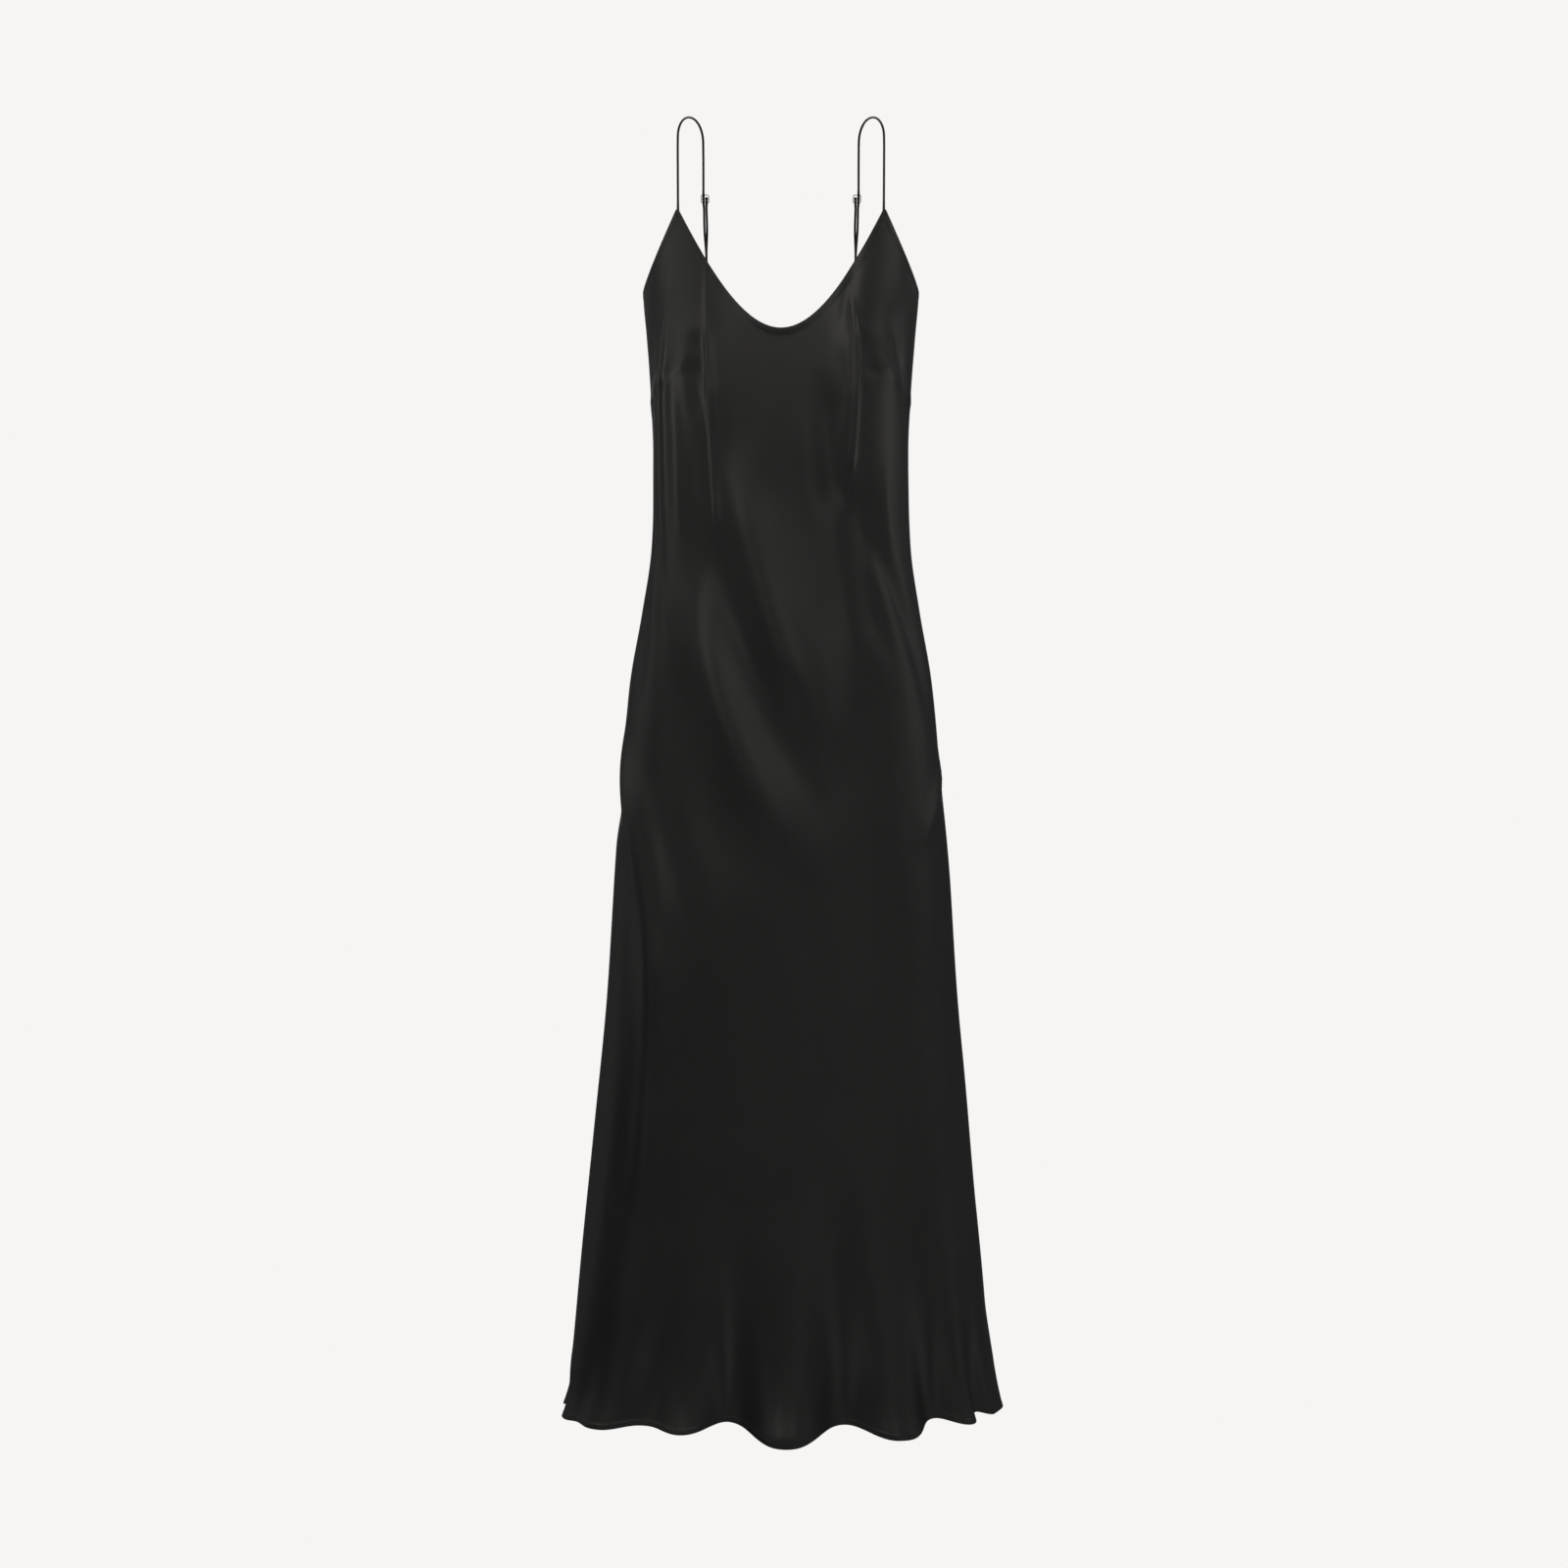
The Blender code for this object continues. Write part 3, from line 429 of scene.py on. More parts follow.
def fluteHeight(flute, owner, side, around, drop):
    place, lean, width, reach, out = flute
    t = nearHem(drop, reach)
    spread = width * (foldRule["spread"] + (1 - foldRule["spread"]) * t)
    away = distanceAlong(side, around, drop, owner, place + lean * (1 - t)) / spread
    return out * np.exp(-(np.abs(away) ** foldRule["roundness"])) * t ** foldRule["growth"]


def dartHeight(dart, around, drop):
    start, end, startDrop, middleDrop, endDrop, width, out = dart
    t = (around - start) / (end - start)
    away = (drop - bentPath(startDrop, middleDrop, endDrop, t)) / width
    soft = smoothStep((1 - t if start < 0 else t) * dartRule["fade"])
    inside = (t >= -dartRule["slack"]) & (t <= 1 + dartRule["slack"])
    return np.where(inside, out * np.exp(-(away**2)) * soft, 0)


def cupHeight(around, drop, x):
    above = np.where(drop < cup["drop"], cup["above"], cup["below"])
    upright = np.exp(-(((drop - cup["drop"]) / above) ** 2))
    sideways = np.exp(-(((np.abs(x) - cup["across"]) / cup["width"]) ** 2))
    return cup["out"] * upright * sideways * np.cos(around * math.pi / 2)


# What the solids' form has off its smooth section
def relief(side, around, drop):
    height = np.zeros(np.broadcast(around, drop).shape)
    height = height + hemFlare["out"] * nearHem(drop, hemFlare["reach"]) ** 2
    for owner, folds, flutes in ((frontSide, frontFolds, frontFlutes), (backSide, backFolds, backFlutes)):
        height = height + sum(foldHeight(fold, owner, side, around, drop) for fold in folds)
        height = height + sum(fluteHeight(flute, owner, side, around, drop) for flute in flutes)
    if side == frontSide:
        height = height + cupHeight(around, drop, plainSection(side, around, drop)[0])
    return height


# Slack of the cloth: many long shallow swells that lean as the bias pulls, fixed by a seed
slack = {
    "count": 120,
    "seed": 11,
    "height": 0.00055,
    "width": (0.008, 0.020),
    "length": (0.12, 0.38),
    "top": (0.22, 1.12),
    "lean": (0.05, 0.32),
    "leanFrom": 0.2,  # drops between which they lean, and how fast the lean sets in and fades
    "leanUntil": 1.0,
    "leanFades": (0.2, 0.5),
    "leanHalfway": 0.45,
}


def slackRows(s):
    draw = np.random.default_rng(s["seed"])
    rows = []
    for _ in range(s["count"]):
        owner = frontSide if draw.random() < 0.5 else backSide
        top = draw.uniform(*s["top"])
        bottom = top + draw.uniform(*s["length"])
        start = draw.uniform(-1, 1)
        lean = draw.uniform(*s["lean"]) * smoothStep((s["leanUntil"] - top) / s["leanFades"][1])
        lean = -owner * lean * smoothStep((top - s["leanFrom"]) / s["leanFades"][0])
        middle = start + lean * s["leanHalfway"]
        width, height = draw.uniform(*s["width"]), s["height"] * draw.uniform(-1, 1)
        rows.append((owner, (top, bottom, start, middle, start + lean, width, height)))
    return rows


slackFolds = slackRows(slack)

# The front's hem kicks out a little more just at its end, except near the side seams
hemKick = {"out": 0.0020, "reach": 0.035, "until": 0.85, "fade": 0.2}

# The neckline's lowest stretch lolls forwards by a little at its very edge
neckLoll = {"out": 0.0016, "deep": 0.006, "across": 0.045}


def fineRelief(side, around, drop, top):
    height = np.zeros(np.broadcast(around, drop).shape)
    for owner, creases in ((frontSide, frontCreases), (backSide, backCreases)):
        height = height + sum(foldHeight(crease, owner, side, around, drop) for crease in creases)
    height = height + sum(foldHeight(fold, owner, side, around, drop) for owner, fold in slackFolds)
    if side == frontSide:
        height = height + sum(dartHeight(dart, around, drop) for dart in frontDarts)
        x = plainSection(side, around, drop)[0]
        loll = np.exp(-(((drop - top) / neckLoll["deep"]) ** 2)) * np.exp(-((x / neckLoll["across"]) ** 2))
        height = height + neckLoll["out"] * loll
        kick = hemKick["out"] * nearHem(drop, hemKick["reach"]) ** 2
        height = height + kick * smoothStep((hemKick["until"] - np.abs(around)) / hemKick["fade"])
    return height


def neckDropAt(x):
    return cut["neckDrop"] - cut["neckRise"] * (np.sqrt(1 + (x / cut["neckSpread"]) ** 2) - 1)


tipDrop = float(neckDropAt(cut["pointAcross"] - cut["pointWidth"] / 2))


def frontEdgeDrop(x, drop):
    x = np.abs(x)
    tipEnd = cut["pointAcross"] + cut["pointWidth"] / 2
    share = (x - tipEnd) / (halfWidth(drop) - tipEnd)
    armhole = tipDrop + (cut["underarmDrop"] - tipDrop) * np.clip(share, 0, 1)
    return np.where(x < cut["pointAcross"], np.maximum(neckDropAt(x), tipDrop), armhole)


def backEdgeDrop(x, drop):
    x = np.abs(x)
    innerEnd = cut["backPointAcross"] - cut["pointWidth"] / 2
    outerEnd = cut["backPointAcross"] + cut["pointWidth"] / 2
    hollow = np.cos(np.clip(x / innerEnd, 0, 1) * math.pi / 2) ** cut["backNeckRound"]
    scoop = cut["backPointDrop"] + (cut["backNeckDrop"] - cut["backPointDrop"]) * hollow
    share = np.clip((x - outerEnd) / (halfWidth(drop) - outerEnd), 0, 1)
    armhole = cut["backPointDrop"] + (cut["underarmDrop"] - cut["backPointDrop"]) * share**2
    armhole = armhole + cut["backArmholeSag"] * np.sin(share * math.pi)
    return np.where(x < cut["backPointAcross"], scoop, armhole)


edgeDropOf = {frontSide: frontEdgeDrop, backSide: backEdgeDrop}


# Drop at which a column meets the top edge, found by repeating from the underarm's
def topDrop(side, around):
    drop = np.full(np.shape(around), cut["underarmDrop"])
    for _ in range(edgePasses):
        drop = edgeDropOf[side](plainSection(side, around, drop)[0], drop)
    return drop


def hemDropAt(side, around):
    return cut["hemDrop"] + cut["hemDip"] * relief(side, around, np.full(np.shape(around), cut["hemDrop"]))


def aroundAt(side, x, drop):
    tries = np.linspace(0, 1, placeSteps)
    return float(np.interp(x, plainSection(side, tries, np.full(tries.shape, drop))[0], tries))


# Middle of the cloth, with or without the shells' finer lines
def clothPoints(side, around, drop, top=None):
    x, y, outX, outY = plainSection(side, around, drop)
    height = relief(side, around, drop)
    if top is not None:
        height = height + fineRelief(side, around, drop, top)
    across = x + height * outX
    forward = y + height * outY + side * cut["seamGap"] / 2
    return np.stack([across, forward, np.broadcast_to(-drop, across.shape)], axis=-1)


# Shells: columns on each side of the centre up to the strap points and past them, rows in three bands
shell = {
    "neckColumns": 52,
    "sideColumns": 58,
    "columnSpread": 1.15,  # above 1 the columns stand closer at the side seams
    "edgeRows": (0.0, 0.0007, 0.0016, 0.0028, 0.0042, 0.0054, 0.0062, 0.0072, 0.0088, 0.011),
    "yokeRows": 46,
    "bodyRows": 112,
    "skirtRows": 34,
    "hemRows": (0.0072, 0.0058, 0.0050, 0.0044, 0.0030, 0.0015, 0.0),
    "yokeEnd": 0.300,
    "bodyEnd": 1.22,
    "wall": 0.00045,
    "outShare": 0.35,  # of the wall, outside the middle of the cloth
    "rimRound": 0.35,  # how far a rim stands out, as a share of the wall
    "turnBlend": 0.0008,  # step from the turned edge's wall to the cloth's
    "edgeTurn": 0.0058,  # width of the narrow turned edge at neck and armholes
    "hemTurn": 0.0048,  # width of the rolled hem
    "turnWall": 0.0011,
    "seamDip": 0.0007,  # the side seams lie in a shallow valley
    "seamDipWidth": 0.0030,
    "rowSplits": (0, 0.34, 0.67),  # distances are measured to these places in each step of a row
    "rowReach": 0.05,
    "plumbRow": 3,  # the cloth's flat map is measured from the row a third of the way down
}


def panelColumns(side, pointAcross, pointDrop):
    start = aroundAt(side, pointAcross - cut["pointWidth"] / 2, pointDrop)
    end = aroundAt(side, pointAcross + cut["pointWidth"] / 2, pointDrop)
    half = np.concatenate([
        np.linspace(0, start, shell["neckColumns"] + 1),
        [(start + end) / 2],
        1 - (1 - end) * np.linspace(1, 0, shell["sideColumns"] + 1) ** shell["columnSpread"],
    ])
    return np.concatenate([-half[:0:-1], half])


def panelRows(top, hem):
    edge = np.array(shell["edgeRows"])[:, None] + top
    last = shell["edgeRows"][-1]
    share = np.linspace(0, 1, shell["yokeRows"] + 1)[1:-1, None]
    yoke = top + last + (shell["yokeEnd"] - top - last) * share
    share = np.linspace(0, 1, shell["bodyRows"] + 1)[:, None]
    body = shell["yokeEnd"] + (shell["bodyEnd"] - shell["yokeEnd"]) * share + np.zeros_like(top)
    lastSkirt = hem - shell["hemRows"][0]
    share = np.linspace(0, 1, shell["skirtRows"] + 1)[1:-1, None]
    skirt = shell["bodyEnd"] + (lastSkirt - shell["bodyEnd"]) * share
    turn = hem - np.array(shell["hemRows"])[:, None]
    return np.concatenate([edge, yoke, body, skirt, turn])


# Shortest distance from each point of a grid to one of its rows, as far as the rows' reach
def distanceToRow(points, row):
    line = points[row]
    fine = np.concatenate([line[:-1] + (line[1:] - line[:-1]) * t for t in shell["rowSplits"]])
    away = np.full(points.shape[:2], 1.0)
    near = np.abs(points[..., 2] - line[None, :, 2]) < shell["rowReach"]
    for i in range(points.shape[0]):
        if near[i].any():
            gaps = points[i][:, None, :] - fine[None, :, :]
            away[i] = np.sqrt((gaps**2).sum(axis=2).min(axis=1))
    return away


def gridNormals(points, side):
    down = np.gradient(points, axis=0)
    across = np.gradient(points, axis=1)
    normal = np.cross(across, down) * side
    normal[:, [0, -1], 1] = 0
    return normal / np.linalg.norm(normal, axis=2, keepdims=True)


# A closed shell from its outer and inner grids, with round edges and a flat map of the cloth in metres
def shellObject(name, outer, inner, outerMaterial, innerMaterial):
    rows, columns = outer.shape[:2]
    count = rows * columns
    index = np.arange(count).reshape(rows, columns)
    outQuads = np.stack([index[:-1, :-1], index[:-1, 1:], index[1:, 1:], index[1:, :-1]], axis=-1)
    outQuads = outQuads.reshape(-1, 4)
    inQuads = outQuads[:, ::-1] + count
    loop = np.concatenate([index[0, :-1], index[:-1, -1], index[-1, :0:-1], index[:0:-1, 0]])
    flatOut, flatIn = outer.reshape(-1, 3), inner.reshape(-1, 3)
    middle = (flatOut[loop] + flatIn[loop]) / 2
    inward = np.concatenate([
        outer[1, :-1] - outer[0, :-1], outer[:-1, -2] - outer[:-1, -1],
        outer[-2, :0:-1] - outer[-1, :0:-1], outer[:0:-1, 1] - outer[:0:-1, 0],
    ])
    inward = inward / np.linalg.norm(inward, axis=1, keepdims=True)
    thick = np.linalg.norm(flatOut[loop] - flatIn[loop], axis=1, keepdims=True)
    rounding = np.concatenate([np.full(columns - 1, shell["rimRound"]), np.zeros(rows - 1)] * 2)[:, None]
    middle = middle - inward * thick * rounding
    rim = np.arange(len(loop)) + 2 * count
    following = np.roll(np.arange(len(loop)), -1)
    rimQuads = np.concatenate([
        np.stack([loop, rim, rim[following], loop[following]], axis=-1),
        np.stack([rim, loop + count, loop[following] + count, rim[following]], axis=-1),
    ])
    faces = np.concatenate([outQuads, inQuads, rimQuads])
    vertices = np.concatenate([flatOut, flatIn, middle]).tolist()
    mesh = newMesh(name, vertices, [], faces.tolist(), outerMaterial, innerMaterial)
    inside = np.zeros(len(faces), dtype=np.int32)
    inside[len(outQuads): 2 * len(outQuads)] = 1
    mesh.polygons.foreach_set("material_index", inside)
    flat = flatMap(outer)
    perVertex = np.concatenate([flat, flat, flat[loop]])
    layer = mesh.uv_layers.new(name="cloth")
    layer.data.foreach_set("uv", perVertex[faces.ravel()].astype(np.float32).ravel())
    mesh.shade_smooth()
    return newObject(name, mesh)


# Metres across the cloth from its centre column and down it from its plumb row
def flatMap(points):
    across = np.linalg.norm(np.diff(points, axis=1), axis=2)
    across = np.concatenate([np.zeros((points.shape[0], 1)), np.cumsum(across, axis=1)], axis=1)
    across = across - across[:, points.shape[1] // 2][:, None]
    down = np.linalg.norm(np.diff(points, axis=0), axis=2)
    down = np.concatenate([np.zeros((1, points.shape[1])), np.cumsum(down, axis=0)], axis=0)
    down = down - down[points.shape[0] // shell["plumbRow"]][None, :]
    return np.stack([across, -down], axis=-1).reshape(-1, 2)


# The line on a panel at this distance in from its top edge or its hem
def lineInside(points, away, distance):
    line = []
    for j in range(points.shape[1]):
        i = int(np.argmax(away[:, j] > distance))
        share = (distance - away[i - 1, j]) / (away[i, j] - away[i - 1, j])
        line.append(points[i - 1, j] + (points[i, j] - points[i - 1, j]) * share)
    return line


def makePanel(name, side, pointAcross, pointDrop):
    around = panelColumns(side, pointAcross, pointDrop)
    top, hem = topDrop(side, around), hemDropAt(side, around)
    drop = panelRows(top, hem)
    points = clothPoints(side, np.broadcast_to(around, drop.shape), drop, top)
    normal = gridNormals(points, side)
    fromTop, fromHem = distanceToRow(points, 0), distanceToRow(points, -1)
    turned = 1 - smoothStep((fromTop - shell["edgeTurn"]) / shell["turnBlend"])
    turned = turned + 1 - smoothStep((fromHem - shell["hemTurn"]) / shell["turnBlend"])
    fromSeam = (1 - np.abs(around)) * quarterArc(drop)
    dip = shell["seamDip"] * np.exp(-((fromSeam / shell["seamDipWidth"]) ** 2))
    points = points - normal * dip[..., None]
    wall = shell["wall"] + (shell["turnWall"] - shell["wall"]) * turned
    outer = points + normal * (wall * shell["outShare"])[..., None]
    inner = points - normal * (wall * (1 - shell["outShare"]))[..., None]
    rows = [
        lineInside(outer, fromTop, shell["edgeTurn"] - stitch["fromFold"]),
        lineInside(outer[::-1], fromHem[::-1], shell["hemTurn"] - stitch["fromFold"]),
    ]
    return shellObject(name, outer, inner, satinOutside, satinInside), rows


# Satin: near black, a soft sheen, long floats that run on the bias
satinLook = {
    "dark": (0.0085, 0.0083, 0.0084),
    "light": (0.0125, 0.0120, 0.0121),
    "roughness": (0.37, 0.45),
    "specular": 0.55,
    "anisotropy": 0.35,
    "bias": 45,  # degrees
    "floatLength": 0.0022,
    "floatWidth": 0.00035,
    "floatDetail": 1.0,
    "weaveDepth": 0.00002,
    "weaveStrength": 0.35,
    "slubLength": 0.045,
    "slubWidth": 0.0016,
    "slubDetail": 2.0,
    "cloudScale": 9.0,
    "cloudDetail": 2.0,
    "shadeSpan": (0.35, 0.65),  # of the clouds and slubs, from dark to light and from smooth to rough
    "glossSpan": (0.3, 0.7),
}
insideLook = dict(
    satinLook,
    dark=(0.009, 0.0088, 0.0088),
    light=(0.012, 0.0116, 0.0116),
    roughness=(0.58, 0.68),
    specular=0.35,
    anisotropy=0.0,
)


def newMaterial(name, values):
    made = bpy.data.materials.new(name)
    made.use_nodes = True
    shader = made.node_tree.nodes["Principled BSDF"]
    for key, value in values.items():
        shader.inputs[key].default_value = value
    return made, made.node_tree, shader


def addBump(tree, shader, height, strength, distance):
    bump = addNode(tree, "ShaderNodeBump", {"Strength": strength, "Distance": distance})
    tree.links.new(height, bump.inputs["Height"])
    tree.links.new(bump.outputs["Normal"], shader.inputs["Normal"])


def addGloss(tree, shader, value, roughness, span=(0.0, 1.0)):
    gloss = addNode(tree, "ShaderNodeMapRange", {"From Min": span[0], "From Max": span[1]})
    gloss.inputs["To Min"].default_value, gloss.inputs["To Max"].default_value = roughness
    tree.links.new(value, gloss.inputs["Value"])
    tree.links.new(gloss.outputs["Result"], shader.inputs["Roughness"])


# Noise at this place, in metres
def addNoise(tree, where, scale, detail):
    noise = addNode(tree, "ShaderNodeTexNoise", {"Scale": scale, "Detail": detail})
    tree.links.new(where, noise.inputs["Vector"])
    return noise.outputs["Fac"]


def clothMaterial(name, look):
    made, tree, shader = newMaterial(name, {
        "Specular IOR Level": look["specular"],
        "Anisotropic": look["anisotropy"],
        "Anisotropic Rotation": look["bias"] / 360,
    })
    where = addNode(tree, "ShaderNodeUVMap", uv_map="cloth").outputs["UV"]
    tangent = addNode(tree, "ShaderNodeTangent", direction_type="UV_MAP", uv_map="cloth")
    tree.links.new(tangent.outputs["Tangent"], shader.inputs["Tangent"])
    bias = addNode(tree, "ShaderNodeMapping", {"Rotation": (0, 0, math.radians(look["bias"]))})
    tree.links.new(where, bias.inputs["Vector"])

    def streaks(length, width, detail):
        stretch = addNode(tree, "ShaderNodeMapping", {"Scale": (1 / length, 1 / width, 1 / width)})
        tree.links.new(bias.outputs["Vector"], stretch.inputs["Vector"])
        return addNoise(tree, stretch.outputs["Vector"], 1.0, detail)

    shade = addNode(tree, "ShaderNodeMath", operation="ADD")
    clouds = addNoise(tree, where, look["cloudScale"], look["cloudDetail"])
    slubs = streaks(look["slubLength"], look["slubWidth"], look["slubDetail"])
    tree.links.new(clouds, shade.inputs[0])
    tree.links.new(slubs, shade.inputs[1])
    half = addNode(tree, "ShaderNodeMath", {1: 0.5}, operation="MULTIPLY")
    tree.links.new(shade.outputs["Value"], half.inputs[0])
    ramp = addNode(tree, "ShaderNodeValToRGB")
    colours = (look["dark"], look["light"])
    for element, place, colour in zip(ramp.color_ramp.elements, look["shadeSpan"], colours):
        element.position, element.color = place, (*colour, 1)
    tree.links.new(half.outputs["Value"], ramp.inputs["Fac"])
    tree.links.new(ramp.outputs["Color"], shader.inputs["Base Color"])
    addGloss(tree, shader, half.outputs["Value"], look["roughness"], look["glossSpan"])
    floats = streaks(look["floatLength"], look["floatWidth"], look["floatDetail"])
    addBump(tree, shader, floats, look["weaveStrength"], look["weaveDepth"])
    return made


satinOutside = clothMaterial("satin outside", satinLook)
satinInside = clothMaterial("satin inside", insideLook)

# Thread: lockstitch rows along the turned edges, and bar tacks where straps are sewn
stitch = {
    "step": 0.0026,
    "length": 0.0021,
    "thick": 0.00034,
    "fromFold": 0.0009,  # in from the inner fold of the turned edge
    "tackStep": 0.0004,
    "tackLength": 0.0026,
    "tackRun": 0.0030,
    "tackFrom": 0.0035,  # below the tip of the strap point
    "uneven": (0.88, 1.06),  # shortest and longest, as shares of the length
    "segments": 8,
    "rings": 6,
    "seed": 5,
}


# A tree that lays one soft oval of thread at each step along its rows
def stitchTree(thread):
    tree = bpy.data.node_groups.new("stitches", "GeometryNodeTree")
    tree.interface.new_socket(name="Stitches", in_out="OUTPUT", socket_type="NodeSocketGeometry")
    for label, kind in (
        ("Rows", "Geometry"),
        ("Step", "Float"),
        ("Length", "Float"),
        ("Thick", "Float"),
        ("Level", "Bool"),
        ("Seed", "Int"),
    ):
        tree.interface.new_socket(name=label, in_out="INPUT", socket_type="NodeSocket" + kind)
    shortest, longest = stitch["uneven"]
    given = addNode(tree, "NodeGroupInput")
    rows = addNode(tree, "GeometryNodeMeshToCurve")
    evenly = addNode(tree, "GeometryNodeResampleCurve", mode="LENGTH")
    form = {"Segments": stitch["segments"], "Rings": stitch["rings"], "Radius": 0.5}
    oval = addNode(tree, "GeometryNodeMeshUVSphere", form)
    tangent = addNode(tree, "GeometryNodeInputTangent")
    across = addNode(tree, "GeometryNodeSwitch", {"True": (1, 0, 0)}, input_type="VECTOR")
    turn = addNode(tree, "FunctionNodeAlignRotationToVector", axis="Z")
    jitter = addNode(tree, "FunctionNodeRandomValue", {2: shortest, 3: longest}, data_type="FLOAT")
    longer = addNode(tree, "ShaderNodeMath", operation="MULTIPLY")
    size = addNode(tree, "ShaderNodeCombineXYZ")
    lay = addNode(tree, "GeometryNodeInstanceOnPoints")
    real = addNode(tree, "GeometryNodeRealizeInstances")
    smooth = addNode(tree, "GeometryNodeSetShadeSmooth")
    paint = addNode(tree, "GeometryNodeSetMaterial", {"Material": thread})
    result = addNode(tree, "NodeGroupOutput")
    for start, output, end, into in (
        (given, "Rows", rows, "Mesh"),
        (rows, "Curve", evenly, "Curve"),
        (given, "Step", evenly, "Length"),
        (evenly, "Curve", lay, "Points"),
        (oval, "Mesh", lay, "Instance"),
        (given, "Level", across, "Switch"),
        (tangent, "Tangent", across, "False"),
        (across, "Output", turn, "Vector"),
        (turn, "Rotation", lay, "Rotation"),
        (given, "Seed", jitter, "Seed"),
        (jitter, 1, longer, 0),
        (given, "Length", longer, 1),
        (given, "Thick", size, "X"),
        (given, "Thick", size, "Y"),
        (longer, "Value", size, "Z"),
        (size, "Vector", lay, "Scale"),
        (lay, "Instances", real, "Geometry"),
        (real, "Geometry", smooth, "Geometry"),
        (smooth, "Geometry", paint, "Geometry"),
        (paint, "Geometry", result, "Stitches"),
    ):
        tree.links.new(start.outputs[output], end.inputs[into])
    return tree


def linesObject(name, lines):
    vertices, edges = [], []
    for line in lines:
        edges += [(len(vertices) + i, len(vertices) + i + 1) for i in range(len(line) - 1)]
        vertices += [tuple(point) for point in line]
    return newObject(name, newMesh(name, vertices, edges, []))


# What the modifiers make of an object, as a plain mesh
def bakedMesh(made):
    return bpy.data.meshes.new_from_object(made.evaluated_get(bpy.context.evaluated_depsgraph_get()))


def makeStitches(name, lines, step, length, level):
    rows = linesObject(name + "Rows", lines)
    modifier = rows.modifiers.new("stitches", "NODES")
    modifier.node_group = stitches
    values = {"Step": step, "Length": length, "Level": level}
    values.update({"Thick": stitch["thick"], "Seed": stitch["seed"]})
    for socket in stitches.interface.items_tree:
        if socket.in_out == "INPUT" and socket.name in values:
            modifier[socket.identifier] = values[socket.name]
    mesh = bakedMesh(rows)
    mesh.name = name
    bpy.data.objects.remove(rows, do_unlink=True)
    return newObject(name, mesh)


threadLook = {
    "colour": (0.010, 0.010, 0.0105),
    "roughness": 0.62,
    "specular": 0.4,
    "plyTwist": 2600.0,
    "plyWander": 0.6,
    "plyDepth": 0.00004,
    "plyStrength": 0.5,
}


def threadMaterial(look):
    made, tree, shader = newMaterial("thread", {
        "Base Color": (*look["colour"], 1),
        "Roughness": look["roughness"],
        "Specular IOR Level": look["specular"],
    })
    ply = addNode(tree, "ShaderNodeTexWave", {"Scale": look["plyTwist"], "Distortion": look["plyWander"]})
    tree.links.new(addNode(tree, "ShaderNodeTexCoord").outputs["Object"], ply.inputs["Vector"])
    addBump(tree, shader, ply.outputs["Fac"], look["plyStrength"], look["plyDepth"])
    return made


stitches = stitchTree(threadMaterial(threadLook))

frontPanel, frontRows = makePanel("frontPanel", frontSide, cut["pointAcross"], tipDrop)
backPanel, backRows = makePanel("backPanel", backSide, cut["backPointAcross"], cut["backPointDrop"])
frontStitches = makeStitches("frontStitches", frontRows, stitch["step"], stitch["length"], False)
backStitches = makeStitches("backStitches", backRows, stitch["step"], stitch["length"], False)
for piece, node in ((frontPanel, "front_panel"), (backPanel, "back_panel")):
    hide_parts(node)
for piece in (frontPanel, backPanel, frontStitches, backStitches):
    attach(piece, "root")
print("panels and their stitches made")

# Straps, turned tubes of satin that are pressed flat where they are sewn or pass a slider
strapSet = {
    "radius": 0.00125,
    "flatWidth": 0.0014,  # half of each where it is pressed
    "flatThick": 0.0006,
    "tuck": 0.010,  # length sewn to the inside of a strap point
    "tuckShares": (1.0, 0.75, 0.5, 0.25, 0.0),
    "tabTuckEnd": 0.05,
    "press": 0.2,  # share of a straight run over which it goes from flat to round
    "rise": (0.03, 0.06, 0.09, 0.12, 0.15, 0.18, 0.22, 0.35, 0.5, 0.75),
    "fall": (0.3, 0.6, 0.78, 0.82, 0.86, 0.90, 0.94, 0.97),
    "shoulderRadius": 0.052,
    "shoulderStations": 41,
    "shift": (150, 40),  # degrees on the shoulder, 90 at its top, between which a strap moves inwards
    "legOffset": 0.0016,
    "legClose": 0.00132,  # the same below the slider, where the legs touch
    "legsRound": 0.0105,  # below the slider's middle, where the legs are round again
    "halfPressed": 0.6,  # share of that distance over which they go from flat to round
    "legShares": (0.5, 0.6, 0.7, 0.85),
    "legStations": 31,
    "legsTurn": 0.5,
    "loopStations": 15,
    "tail": 0.0018,
    "tabReach": 0.0056,
    "frameRow": 0.004,  # step down a strap point, and across it, from which its directions are read
    "frameStep": 0.01,
    "sides": 20,
    "seamDip": 0.13,  # the tube's own seam, as a share of its radius
    "seamTurn": 40,  # degrees round the tube
    "seamSpread": 14,
}
metalSet = {
    "wire": 0.00045,
    "sides": 16,
    "ringRadius": 0.0036,
    "ringStations": 64,
    "sliderAcross": 0.0812,
    "sliderDown": 0.0346,
    "sliderHalfWidth": 0.0039,
    "barSpacing": 0.00405,
    "corner": 0.0011,
    "cornerStations": 7,
    "barStations": 9,
    "weaveStations": 25,
    "sharpFrom": 60,  # degrees
}
woven = metalSet["wire"] + cut["seamGap"] + strapSet["flatThick"]  # from a slider's bar to the strap on it


def pointFrame(side, hand, across, drop):
    around = np.full(3, hand * aroundAt(side, across, drop))
    rows = drop + strapSet["frameRow"] * np.arange(3)
    points = clothPoints(side, around, rows)
    beside = clothPoints(side, around + strapSet["frameStep"], rows)
    down = Vector(points[2] - points[0]).normalized()
    outward = (Vector(beside[0] - points[0]).cross(down) * side).normalized()
    return Vector(points[0]), outward, down


